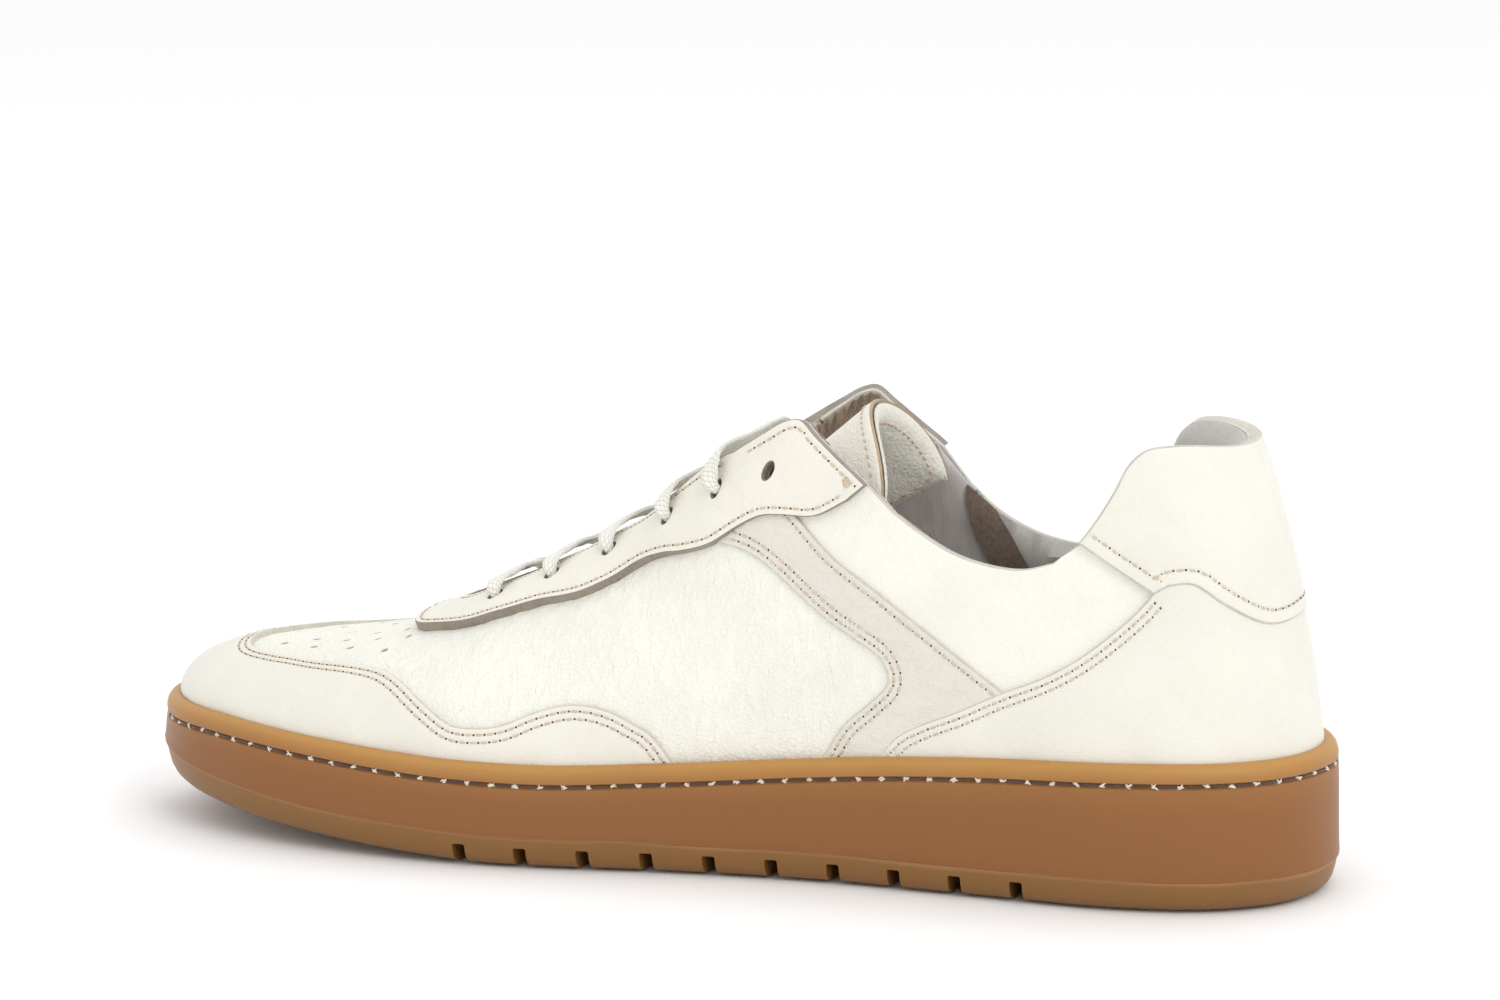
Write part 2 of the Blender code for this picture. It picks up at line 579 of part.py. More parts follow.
def collar_extra(side, run, rise):
    """How much deeper than the plain lining the padded collar's lining lies."""
    x, _, z = upper(side, run, rise)

    def step(value, start, width):
        t = min(max((value - start) / width, 0.0), 1.0)
        return t * t * (3 - 2 * t)

    return COLLAR_PAD * step(x, 0.055, 0.035) * step(z, 0.060, 0.016)


# --- layers: distance of each face from the outside of the base leather -----------------------------------
BASE = (0.0, -LEATHER)
ON_TOP = LAYER_GAP
UNDER = -(LEATHER + LAYER_GAP)
LINING_FACE = UNDER - STIFFENER_ROOM - LAYER_GAP
INNER_FACE = LINING_FACE - LINING
LACE_DEPTH = INNER_FACE - LAYER_GAP - GAP - LACE_THICKNESS / 2      # middle of a lace run under the lining


def vamp_region(side):
    seam = in_side_view(side, SEAM)
    top = at_rise(side, [(0.0120, 0.600)])[0]
    foot = foot_run(side, SEAM_FOOT)
    outline = (low_edge(0.0, foot) + up_edge(foot, LOW_RISE, 0.0)[1:] + seam[::-1] + [top]
               + throat_line(side)[:-1] + ridge_edge(side, THROAT_FRONT, RIDGE_FRONT)[:-1]
               + up_edge(0.0, 1.0, LOW_RISE)[:-1])
    holes = eyelet_holes(side, range(LACED_ROWS))
    holes += [circle(side, place, PERFORATION, 6) for place in at_rise(side, PERFORATIONS)]
    return region(side, outline, holes)


def quarter_region(side):
    seam = shifted(in_side_view(side, SEAM), 2 * SEAM_SHARE)
    top = shifted(at_rise(side, [(0.0120, 0.600)]), 2 * SEAM_SHARE)
    foot = foot_run(side, SEAM_FOOT) + 2 * SEAM_SHARE
    heel = 1.0 - SEAM_SHARE
    back = at_height(side, 1.0, COLLAR_BACK)
    collar = collar_line(side)[:-1] + [(heel, back)]
    outline = (up_edge(foot, 0.0, LOW_RISE) + low_edge(foot, heel)[1:] + up_edge(heel, LOW_RISE, back)[1:]
               + collar[-2::-1] + in_side_view(side, TOPLINE[side])[::-1]
               + at_rise(side, STAY_PEAK)[::-1] + top + seam)
    return region(side, outline, eyelet_holes(side, [EYELET_ROWS - 1]))


def build_base(leather):
    add_object("vamp", sheet([vamp_region(side) for side in SIDES.values()], *BASE), leather, upper_root)
    for name, side in SIDES.items():
        add_object(f"quarter_{name}", sheet([quarter_region(side)], *BASE), leather, upper_root)


def build_linings(textile, soft, suede):
    def face(*place):
        return LINING_FACE - collar_extra(*place)

    def inner(*place):
        return INNER_FACE - collar_extra(*place)

    front = []
    for side in SIDES.values():
        seam = in_side_view(side, LINING_SEAM)
        foot = foot_run(side, LINING_SEAM_FOOT)
        outline = (low_edge(0.0, foot) + up_edge(foot, LOW_RISE, 0.0)[1:] + seam[::-1]
                   + in_side_view(side, TOPLINE[side][:1]) + at_rise(side, STAY_PEAK)[::-1]
                   + throat_line(side)[:-1] + ridge_edge(side, THROAT_FRONT, RIDGE_FRONT)[:-1]
                   + up_edge(0.0, 1.0, LOW_RISE)[:-1])
        front.append(region(side, outline, eyelet_holes(side, range(EYELET_ROWS), LINING_EYELET)))
    add_object("vamp_lining", sheet(front, face, inner), textile, upper_root)

    rear = []
    for name, side in SIDES.items():
        seam = shifted(in_side_view(side, LINING_SEAM), 2 * SEAM_SHARE)
        foot = foot_run(side, LINING_SEAM_FOOT) + 2 * SEAM_SHARE
        back = at_height(side, 1.0, COLLAR_BACK)
        outline = (up_edge(foot, 0.0, LOW_RISE) + low_edge(foot, 1.0)[1:]
                   + up_edge(1.0, LOW_RISE, back)[1:] + collar_line(side)[-2::-1]
                   + in_side_view(side, TOPLINE[side][1:])[::-1] + seam)
        rear.append(region(side, outline))
        band_front = in_side_view(side, [(x - BAND_HALF, z) for x, z in LINING_SEAM])
        band_rear = in_side_view(side, [(x + BAND_HALF, z - 0.002) for x, z in LINING_SEAM])
        band = sheet([region(side, band_front + band_rear[::-1])],
                     lambda *place: inner(*place) - LAYER_GAP - GAP,
                     lambda *place: inner(*place) - LAYER_GAP - GAP - BAND_THICKNESS)
        add_object(f"lining_band_{name}", band, suede, upper_root)
    add_object("quarter_lining", sheet(rear, face, inner), soft, upper_root)


def build_stiffeners(board, foam):
    puff, counter, pad = [], [], []
    for side in SIDES.values():
        rear = foot_run(side, -0.0900)
        rim = rim_edge(side, 0.0, rear)
        outline = (rim + ridge_edge(side, PUFF_BACK, RIDGE_FRONT)[:-1] + up_edge(0.0, 1.0, rim[0][1])[:-1])
        puff.append(region(side, outline))
        front = foot_run(side, COUNTER_FRONT)
        heel_low, heel_top = LOW_RISE, at_height(side, 1.0, COUNTER_TOP)
        upper_edge = in_side_view(side, [(0.128, COUNTER_TOP), (0.110, COUNTER_TOP), (0.095, 0.058)])
        outline = (low_edge(front, 1.0) + up_edge(1.0, heel_low, heel_top)[1:] + upper_edge
                   + [(front, 0.03)])
        counter.append(region(side, outline))
        pad_top = at_height(side, 1.0, COLLAR_BACK - 3 * MM)
        pad_low = at_height(side, 1.0, COUNTER_TOP + 3 * MM)
        top_edge = [(0.1200, 0.1025), (0.1120, 0.1030), (0.1075, 0.0985), (0.1030, 0.0900), (0.0960, 0.0810),
                    (0.0880, 0.0745), (0.0780, 0.0705)]
        low = [(0.0780, 0.0640), (0.0880, 0.0650), (0.1000, 0.0650), (0.1150, 0.0650), (0.1280, 0.0650)]
        outline = (in_side_view(side, low) + up_edge(1.0, pad_low, pad_top) + in_side_view(side, top_edge))
        pad.append(region(side, outline))
    add_object("toe_puff", sheet(puff, UNDER, UNDER - STIFFENER), board, upper_root)
    add_object("heel_counter", sheet(counter, UNDER, UNDER - STIFFENER), board, upper_root)
    foam_inner = sheet(pad, UNDER, lambda *place: UNDER - STIFFENER * 0.4 - FOAM_SHARE * collar_extra(*place))
    add_object("collar_foam", foam_inner, foam, upper_root)


def build_overlays(smooth, stripe, stay_leather):
    guard, foxing, tab, stay = [], [], [], []
    for name, side in SIDES.items():
        rear = foot_run(side, TOE_GUARD_REAR)
        edge = in_side_view(side, TOE_GUARD_EDGE)[::-1]
        rim = rim_edge(side, 0.0, rear)
        outline = rim + edge + up_edge(0.0, TOE_GUARD_FRONT, rim[0][1])[:-1]
        guard.append(region(side, outline))

        front = rim_edge(side, foot_run(side, STRIPE_FRONT_FOOT), foot_run(side, FOXING_FOOT) - 2 * SEAM_SHARE)
        foxing_edge = in_side_view(side, FOXING_EDGE)
        below = shifted([place for place, (x, _) in zip(foxing_edge, FOXING_EDGE) if x < 0.0765],
                        -2 * SEAM_SHARE)
        top = [(place[0], place[1] - 0.012) for place in at_rise(side, [(0.0215, 0.385), (0.0150, 0.415)])]
        outline = (front + below + in_side_view(side, STRIPE_REAR[::-1][1:-1]) + top
                   + in_side_view(side, STRIPE_FRONT[1:]))
        add_object(f"stripe_{name}", sheet([region(side, outline)], ON_TOP + OVERLAY, ON_TOP), stripe,
                   upper_root)

        tab_low = in_side_view(side, HEEL_TAB_LOWER)
        back_low = at_height(side, 1.0, HEEL_TAB_BACK)
        rim = rim_edge(side, foot_run(side, FOXING_FOOT), 1.0)
        under_tab = [(place[0], place[1] - 0.010) for place in tab_low[::-1]]
        outline = (rim + up_edge(1.0, rim[-1][1], back_low - 0.010)[1:] + under_tab + foxing_edge[::-1])
        foxing.append(region(side, outline))

        back_top = at_height(side, 1.0, COLLAR_BACK)
        outline = (in_side_view(side, HEEL_TAB_FRONT) + tab_low + up_edge(1.0, back_low, back_top)
                   + collar_line(side)[-2:0:-1])
        tab.append(region(side, outline))

        corner = at_rise(side, STAY_PEAK)
        tip = [(ridge_run(side, STAY_TIP), 1.0)]
        outline = (tip + at_rise(side, STAY_TIP_ROUND[::-1]) + at_rise(side, STAY_LOWER[::-1])
                   + corner[::-1] + throat_line(side)
                   + ridge_edge(side, THROAT_FRONT, STAY_TIP)[1:-1])
        stay.append(region(side, outline, eyelet_holes(side, range(EYELET_ROWS))))
    add_object("toe_guard", sheet(guard, ON_TOP + OVERLAY, ON_TOP), smooth, upper_root)
    add_object("heel_foxing", sheet(foxing, ON_TOP + OVERLAY, ON_TOP), smooth, upper_root)
    add_object("heel_tab", sheet(tab, ON_TOP + HEEL_TAB, ON_TOP), smooth, upper_root)
    add_object("lace_stay", sheet(stay, ON_TOP + STAY, ON_TOP), stay_leather, upper_root)


# --- sole and insole -------------------------------------------------------------------------------------
def build_sole(rubber, foam, board, cloth):
    def above_ground(height):
        return lambda x: ground(x) + height

    def below_rim(drop):
        return lambda x: curve(RIM_HEIGHT, x) - drop

    def board_top(height):
        return lambda x: curve(BOARD_HEIGHT, x) + height

    profile = [(8.0 * MM, above_ground(0.0)), (3.4 * MM, above_ground(0.7 * MM)),
               (1.3 * MM, above_ground(3.0 * MM)), (0.4 * MM, above_ground(PARTING_HEIGHT - 0.3 * MM)),
               (0.0, above_ground(PARTING_HEIGHT)), (0.5 * MM, below_rim(WELT_DROP + 4.0 * MM)),
               (0.9 * MM, below_rim(WELT_DROP + WELT_WIDTH / 2)),
               (0.9 * MM + WELT_DEPTH, below_rim(WELT_DROP)),
               (1.1 * MM, below_rim(WELT_DROP - WELT_WIDTH / 2)), (1.8 * MM, below_rim(1.0 * MM)),
               (2.8 * MM, below_rim(0.0)), (4.3 * MM, below_rim(0.0)), (RIM_WALL, below_rim(1.0 * MM)),
               (RIM_WALL, above_ground(CUP_FLOOR))]
    outsole = add_object("outsole", ring_solid(profile), rubber, upper_root)
    step = (TREAD_LAST - TREAD_FIRST) / (TREAD_GROOVES - 1)
    for k in range(TREAD_GROOVES):
        x = TREAD_FIRST + k * step
        bpy.ops.mesh.primitive_cube_add(size=1)
        cutter = bpy.context.object
        cutter.scale = (TREAD_WIDTH, BALL_WIDTH * 1.4, TREAD_DEPTH * 2)
        cutter.location = (x, 0, ground(x))
        bpy.ops.object.transform_apply(scale=True)
        cut(outsole, cutter)

    inset = RIM_WALL + GAP
    filler = ring_solid([(inset, above_ground(CUP_FLOOR + GAP)), (inset, board_top(0.0))])
    add_object("midsole_filler", filler, foam, upper_root)
    inside_lining = UPPER_INSET - INNER_FACE + 3 * GAP
    low = GAP
    add_object("lasting_board", ring_solid([(inside_lining, board_top(low)),
                                            (inside_lining, board_top(low + BOARD))]), board, upper_root)
    low += BOARD + GAP
    add_object("sock_liner", ring_solid([(inside_lining, board_top(low)),
                                         (inside_lining, board_top(low + SOCK * 0.75)),
                                         (inside_lining + 1.5 * MM, board_top(low + SOCK))]),
               cloth, upper_root)


# --- tongue ----------------------------------------------------------------------------------------------
def tongue_point(x, turn, depth):
    """A point of the tongue: x on its ridge, turn -1..1 across its arch, depth below its outer face."""
    step = 0.5 * MM
    z = float(curve(TONGUE_RIDGE, x))
    slope = float(curve(TONGUE_RIDGE, x + step) - curve(TONGUE_RIDGE, x - step)) / (2 * step)
    if x <= TONGUE_RIDGE[0][0] + step or x >= TONGUE_RIDGE[-1][0] - step:
        slope *= 2
    along = np.array([1.0, 0.0, slope]) / math.hypot(1.0, slope)
    down = np.array([along[2], 0.0, -along[0]])
    angle = turn * TONGUE_TURN
    half = float(curve(TONGUE_HALF, x)) * BALL_WIDTH / DRAWN_WIDTH
    arch = float(curve(TONGUE_ARCH, x))
    across, drop = half / math.sin(TONGUE_TURN), arch / (1 - math.cos(TONGUE_TURN))
    rise, reach = drop * math.sin(TONGUE_TURN), across * math.cos(TONGUE_TURN)
    lean = math.sin(angle) / math.sin(TONGUE_TURN) * rise / math.hypot(rise, reach)
    normal = np.array([0.0, lean, 0.0]) - down * math.sqrt(1 - lean * lean)
    ridge = np.array([x, float(curve(RIDGE_OFFSET, x)), z])
    point = ridge + np.array([0, across * math.sin(angle), 0]) + down * drop * (1 - math.cos(angle))
    return point - normal * depth


def tongue_layer(start, end, outer, inner, rows=12, columns=8):
    bm = bmesh.new()
    grids = []
    for depth in (outer, inner):
        grids.append([[bm.verts.new(tongue_point(start + (end - start) * i / rows, -1 + 2 * j / columns, depth))
                       for j in range(columns + 1)] for i in range(rows + 1)])
    for i in range(rows):
        for j in range(columns):
            top, low = ([g[i][j], g[i + 1][j], g[i + 1][j + 1], g[i][j + 1]] for g in grids)
            bm.faces.new(top)
            bm.faces.new(low[::-1])
    rim = ([(i, 0) for i in range(rows)] + [(rows, j) for j in range(columns)]
           + [(i, columns) for i in range(rows, 0, -1)] + [(0, j) for j in range(columns, 0, -1)])
    for (a, b), (c, d) in zip(rim, rim[1:] + rim[:1]):
        bm.faces.new([grids[0][c][d], grids[0][a][b], grids[1][a][b], grids[1][c][d]])
    return bm


def build_tongue(leather, foam, textile):
    start, end = TONGUE_RIDGE[0][0], TONGUE_RIDGE[-1][0]
    pad = TONGUE_LEATHER + LAYER_GAP / 2
    lining = pad + TONGUE_PAD + LAYER_GAP / 2
    split = end - FACING_DEPTH * 0.78
    add_object("tongue_leather", tongue_layer(start, end, 0.0, TONGUE_LEATHER), leather, tongue_root)
    add_object("tongue_foam", tongue_layer(start + 3 * MM, end - 3 * MM, pad, pad + TONGUE_PAD), foam,
               tongue_root)
    add_object("tongue_lining", tongue_layer(start, split, lining, lining + TONGUE_LINING, 9), textile,
               tongue_root)
    add_object("tongue_facing", tongue_layer(split + GAP, end, lining, lining + TONGUE_LINING, 4), leather,
               tongue_root)


# --- lace ------------------------------------------------------------------------------------------------
def lace_place(side, row, depth, toward_throat=0.0):
    """A point at an eyelet, its outward normal and the direction along the eyelet row."""
    (run, rise), = at_rise(side, [EYELETS[row]])
    step = 0.01
    across = np.linalg.norm(upper(side, run, rise + step) - upper(side, run, rise - step)) / (2 * step)
    rise += toward_throat / across
    normal = outward(side, run, rise)
    along = upper(side, run + step, rise) - upper(side, run - step, rise)
    return upper(side, run, rise) + normal * depth, along / np.linalg.norm(along)


LACE_TOP = ON_TOP + STAY + GAP + LACE_THICKNESS / 2
HOLE_WIDTH = 1.7 * MM          # the flat lace bunches up inside an eyelet
UNDER_WIDTH = 3.2 * MM


def up_through(side, row):
    """Stops of the lace coming out of an eyelet, ready to cross the throat: (point, width axis, width)."""
    stops = []
    for depth, shift, width in ((INNER_FACE - 1.2 * MM, 0.0, HOLE_WIDTH), (-2.0 * MM, 0.0, HOLE_WIDTH),
                                (ON_TOP + STAY - 0.8 * MM, 0.0, HOLE_WIDTH),
                                (LACE_TOP - 0.3 * MM, 1.0 * MM, HOLE_WIDTH * 1.4),
                                (LACE_TOP + 1.0 * MM, 3.4 * MM, LACE_WIDTH * 0.85),
                                (LACE_TOP + 1.7 * MM, 6.5 * MM, LACE_WIDTH)):
        point, along = lace_place(side, row, depth, shift)
        stops.append((point, along, width))
    return stops


def under_run(side, first, last, bow):
    """Stops of the lace inside the shoe from one row to another, bowed toward or away from the throat."""
    (run_a, rise_a), (run_b, rise_b) = at_rise(side, [EYELETS[first], EYELETS[last]])
    stops = []
    for share in np.linspace(0.0, 1.0, 3 + 2 * (last - first))[1:-1]:
        run = run_a + (run_b - run_a) * share
        rise = rise_a + (rise_b - rise_a) * share + bow * math.sin(math.pi * share)
        step = 0.01
        across = upper(side, run, rise + step) - upper(side, run, rise - step)
        stops.append((upper(side, run, rise) + outward(side, run, rise) * LACE_DEPTH,
                      across / np.linalg.norm(across), UNDER_WIDTH))
    return stops


def crossing(side, row):
    """A whole bar: out of one side's eyelet, over the throat and into the other side's."""
    start, end = up_through(side, row), up_through(-side, row)
    middle = (start[-1][0] + end[-1][0]) / 2 + np.array([0, 0, 0.4 * MM])
    return start + [(middle, start[-1][1], LACE_WIDTH)] + end[::-1]


def wall_stop(side, x, z, width):
    """A stop of the lace lying flat against the lining at this x and z."""
    run = foot_run(side, x)
    rim = curve(RIM_HEIGHT, wall(side, run, UPPER_INSET)[0])
    if z > rim:
        run, rise = find(side, x, z)
    else:
        rise = LOW_RISE * (rim - z) / (rim - curve(BOARD_HEIGHT, x) - GAP)
    step = 0.01
    across = upper(side, run, rise + step) - upper(side, run, rise - step)
    return (upper(side, run, rise) + outward(side, run, rise) * (LACE_DEPTH - GAP),
            across / np.linalg.norm(across), width)


def sweep(stops, thickness, steps=3, corners=6, flat=0.34):
    """A closed flat tube through (point, width axis, width) stops."""
    rows = np.array([[*point, *axis, width] for point, axis, width in stops])
    line = smooth_path(rows[:, :3], steps)
    places = np.linspace(0, len(rows) - 1, len(line))
    axes = np.column_stack([np.interp(places, range(len(rows)), rows[:, 3 + k]) for k in range(3)])
    widths = np.interp(places, range(len(rows)), rows[:, 6])
    tangents = np.gradient(line, axis=0)
    tangents /= np.linalg.norm(tangents, axis=1)[:, None]
    bm = bmesh.new()
    rings = []
    for point, axis, width, tangent in zip(line, axes, widths, tangents):
        axis = axis - tangent * (axis @ tangent)
        axis /= np.linalg.norm(axis)
        face = np.cross(axis, tangent)
        shape = [(0.5, 0.0), (flat, 0.5), (-flat, 0.5), (-0.5, 0.0), (-flat, -0.5), (flat, -0.5)]
        if corners == 8:
            shape = [(0.5 * math.cos(t), 0.5 * math.sin(t)) for t in np.arange(8) * math.pi / 4]
        rings.append([bm.verts.new(point + axis * width * a + face * thickness * b) for a, b in shape])
    for ring, following in zip(rings, rings[1:]):
        for k in range(len(ring)):
            j = (k + 1) % len(ring)
            bm.faces.new([ring[k], ring[j], following[j], following[k]])
    bm.faces.new(rings[0][::-1])
    bm.faces.new(rings[-1])
    return bm


def facing_out(stops):
    """Stops at an eyelet, turned so that their width axis keeps one sense along the lace."""
    turned = [stops[0]]
    for point, axis, width in stops[1:]:
        turned.append((point, axis if axis @ turned[-1][1] >= -0.05 else -axis, width))
    return turned


def tail_stops(side):
    """The loose tail's stops, from below its eyelet to its end near the toe."""
    route = TAIL_ROUTE[side] + [(x, float(curve(BOARD_HEIGHT, x)) + TAIL_FLOOR) for x in TAIL_FORWARD]
    return [wall_stop(side, x, z, LACE_WIDTH) for x, z in route]


def build_lace(cotton, plastic):
    # one end goes from row 1 to 2 on the medial side and on to 4 laterally; the other, the other way round
    first = (tail_turn(MEDIAL)[::-1] + crossing(MEDIAL, 3) + under_run(LATERAL, 1, 3, 0.055)[::-1]
             + crossing(LATERAL, 1) + under_run(MEDIAL, 0, 1, 0.0)[::-1])
    second = (crossing(MEDIAL, 0) + under_run(LATERAL, 0, 2, -0.055) + crossing(LATERAL, 2)
              + under_run(MEDIAL, 2, 4, 0.055) + crossing(MEDIAL, 4) + tail_turn(LATERAL))
    add_object("lace", sweep(facing_out(first + second), LACE_THICKNESS), cotton, upper_root, 60)
    for name, side in SIDES.items():
        stops = tail_stops(side)
        add_object(f"lace_tail_{name}", sweep(facing_out(stops), LACE_THICKNESS), cotton, upper_root, 60)
        end, before = stops[-1], stops[-2]
        ahead = (end[0] - before[0]) / np.linalg.norm(end[0] - before[0])
        inward = -outward(side, foot_run(side, end[0][0]), 0.0)
        start = end[0] + ahead * GAP + inward * (AGLET_DIAMETER - LACE_THICKNESS) / 2
        ahead = ahead * math.cos(AGLET_TOE_IN) + inward * math.sin(AGLET_TOE_IN)
        aglet = [(start + ahead * AGLET_LENGTH * share, end[1], AGLET_DIAMETER) for share in (0.0, 0.5, 1.0)]
        add_object(f"aglet_{name}", sweep(aglet, AGLET_DIAMETER, 1, 8), plastic, upper_root)


def tail_turn(side):
    """Stops from an eyelet's inside down to where the loose tail begins."""
    row = LACE_TAILS[side]
    start, along = lace_place(side, row, LACE_DEPTH - 0.6 * MM, -3.0 * MM)
    begin = wall_stop(side, *TAIL_ROUTE[side][0], LACE_WIDTH)
    follow = wall_stop(side, *TAIL_ROUTE[side][1], LACE_WIDTH)
    back = (begin[0] - follow[0]) / np.linalg.norm(begin[0] - follow[0])
    return [(start, along, UNDER_WIDTH), (begin[0] + back * 2 * GAP, along, LACE_WIDTH)]


# --- scene -----------------------------------------------------------------------------------------------
def clear_scene():
    for item in list(bpy.data.objects):
        bpy.data.objects.remove(item)


def empty(name, location):
    made = bpy.data.objects.new(name, None)
    made.location = location
    bpy.context.collection.objects.link(made)
    return made


clear_scene()
upper_root = empty("shoe", (0, 0, 0))
tongue_root = empty("tongue_hinge", tuple(tongue_point(TONGUE_RIDGE[0][0], 0, 0)))
bpy.context.view_layer.update()

CREAM = material("cream_leather", (0.90, 0.88, 0.82), 0.5)
SMOOTH = material("smooth_leather", (0.88, 0.86, 0.80), 0.45)
STRIPE = material("stripe_leather", (0.84, 0.82, 0.76), 0.5)
THICK = material("stay_leather", (0.88, 0.86, 0.79), 0.5)
GUM = material("gum_rubber", (0.55, 0.32, 0.14), 0.45)
EVA = material("eva_foam", (0.85, 0.83, 0.78), 0.8)
BOARD_FIBRE = material("fibre_board", (0.72, 0.63, 0.48), 0.85)
FOAM = material("open_foam", (0.80, 0.78, 0.70), 0.9)
TEXTILE = material("lining_textile", (0.60, 0.60, 0.61), 0.9)
SOFT = material("soft_lining", (0.70, 0.70, 0.70), 0.85)
SUEDE = material("brown_suede", (0.36, 0.29, 0.23), 0.95)
COTTON = material("lace_cotton", (0.91, 0.89, 0.83), 0.85)
AGLET_PLASTIC = material("aglet_plastic", (0.88, 0.87, 0.82), 0.35)

build_sole(GUM, EVA, BOARD_FIBRE, SOFT)
build_base(CREAM)
build_linings(TEXTILE, SOFT, SUEDE)
build_stiffeners(BOARD_FIBRE, FOAM)
build_overlays(SMOOTH, STRIPE, THICK)
build_tongue(CREAM, FOAM, TEXTILE)
build_lace(COTTON, AGLET_PLASTIC)
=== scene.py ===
"""Looks of a low-cut court shoe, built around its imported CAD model. Metres, +Z up, toe at -X."""
import math

import bmesh
import bpy
import numpy as np
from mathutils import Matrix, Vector
from mathutils.geometry import delaunay_2d_cdt


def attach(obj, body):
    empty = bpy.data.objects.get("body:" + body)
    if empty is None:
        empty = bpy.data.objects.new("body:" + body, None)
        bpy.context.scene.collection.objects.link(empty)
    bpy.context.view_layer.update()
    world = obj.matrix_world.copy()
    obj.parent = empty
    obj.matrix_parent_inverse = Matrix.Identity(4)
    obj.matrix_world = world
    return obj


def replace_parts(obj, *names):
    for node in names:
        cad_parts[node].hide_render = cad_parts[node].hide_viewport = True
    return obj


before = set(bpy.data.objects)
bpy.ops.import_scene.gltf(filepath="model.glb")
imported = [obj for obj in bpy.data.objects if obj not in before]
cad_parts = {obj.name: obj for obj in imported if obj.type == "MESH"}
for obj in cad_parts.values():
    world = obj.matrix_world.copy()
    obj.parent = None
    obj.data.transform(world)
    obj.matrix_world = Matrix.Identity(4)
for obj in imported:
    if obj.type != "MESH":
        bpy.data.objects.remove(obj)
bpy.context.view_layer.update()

MM = 0.001
MEDIAL, LATERAL = -1, 1
SIDES = {"medial": MEDIAL, "lateral": LATERAL}

# --- driving dimensions -------------------------------------------------------------------------------
LENGTH = 300 * MM              # outsole, toe tip to heel back
BALL_WIDTH = 107 * MM          # width that the outline's shares are taken of
DRAWN_WIDTH = 107 * MM         # width that the tongue's half widths are given for
TOE_SPRING = 11 * MM           # how far the toe tip is lifted off the ground
SPRING_START = -45 * MM        # where the sole begins to lift, along X

RIM_WALL = 5.2 * MM            # cup wall, from its widest line to its inner face
CUP_FLOOR = 6.5 * MM           # rubber under the foot
WELT_DROP = 4.8 * MM           # stitch groove below the rim
WELT_WIDTH = 1.8 * MM
PARTING_HEIGHT = 8 * MM        # mould parting line above the ground
TREAD_GROOVES = 10
TREAD_FIRST = -53 * MM         # first and last cross groove, along X
TREAD_LAST = 82.4 * MM
TREAD_WIDTH = 3.5 * MM
TREAD_DEPTH = 5.2 * MM

LEATHER = 1.4 * MM             # base leather: vamp and quarters
STAY = 2.2 * MM                # thick leather of the lace stay
STIFFENER_ROOM = 1.1 * MM      # space left for them between leather and lining
LINING = 1.0 * MM
GAP = 0.3 * MM                 # between pieces that touch
LAYER_GAP = 0.6 * MM           # between curved layers, where facets differ
COLLAR_PAD = 5.5 * MM          # how far the padded lining stands in from the plain one

TONGUE_PAD = 4.0 * MM
TONGUE_LINING = 1.0 * MM

LACE_WIDTH = 5.6 * MM
LACE_THICKNESS = 1.5 * MM
EYELET_ROOM = 2.3 * MM         # what a punched hole has beyond the lace's thickness
TURN_ROOM = 2.6 * MM           # what the lining's hole has beyond that, where the lace turns
EYELET = LACE_THICKNESS + EYELET_ROOM
LINING_EYELET = EYELET + TURN_ROOM
LACED_ROWS = 5
PERFORATION = 1.6 * MM

# --- the sole's outline: (share of the length from the toe, share of half the ball width) ---------------
MEDIAL_OUTLINE = [(0.0, -0.10), (0.012, -0.36), (0.05, -0.63), (0.12, -0.84), (0.20, -0.93), (0.285, -0.95),
                  (0.38, -0.90), (0.50, -0.77), (0.62, -0.70), (0.74, -0.715), (0.85, -0.72), (0.93, -0.60),
                  (0.98, -0.36), (1.0, 0.0)]
LATERAL_OUTLINE = [(0.010, 0.14), (0.045, 0.43), (0.11, 0.70), (0.20, 0.92), (0.31, 1.04), (0.40, 1.03),
                   (0.52, 0.92), (0.64, 0.82), (0.76, 0.765), (0.86, 0.735), (0.935, 0.60), (0.98, 0.36)]
OUTLINE_STEPS = 24             # points between two control points

# --- curves along the shoe, in metres: (x, value) --------------------------------------------------------
RIM_HEIGHT = [(-0.150, 0.0300), (-0.120, 0.0302), (-0.090, 0.0279), (-0.053, 0.0254), (-0.033, 0.0252),
              (-0.005, 0.0267), (0.030, 0.0298), (0.063, 0.0327), (0.100, 0.0345), (0.150, 0.0352)]
BOARD_HEIGHT = [(-0.150, 0.0235), (-0.100, 0.0165), (-0.050, 0.0135), (0.0, 0.0150), (0.050, 0.0190),
                (0.100, 0.0215), (0.150, 0.0220)]
RIDGE_HEIGHT = [(-0.105, 0.0445), (-0.090, 0.0468), (-0.075, 0.0520), (-0.053, 0.0612), (-0.032, 0.0720),
                (-0.011, 0.0865), (0.005, 0.1060), (0.020, 0.1300), (0.035, 0.1400), (0.080, 0.1420)]
RIDGE_OFFSET = [(-0.105, -0.0060), (-0.060, -0.0060), (0.0, -0.0050), (0.040, -0.0030), (0.080, -0.0020)]
RIDGE_BEHIND = [(-0.145, -0.105), (-0.125, -0.099), (-0.100, -0.087), (-0.070, -0.066), (-0.030, -0.030),
                (0.020, 0.019), (0.060, 0.052), (0.095, 0.067), (0.125, 0.076), (0.145, 0.080)]
FULLNESS = [(-0.105, 1.0), (-0.030, 1.0), (0.010, 0.72), (0.030, 0.60), (0.080, 0.60)]
HEEL_LEAN = [(0.60, 0.0), (0.80, 0.06), (0.92, 0.14), (1.0, 0.26)]     # (run, straight share of the lean)

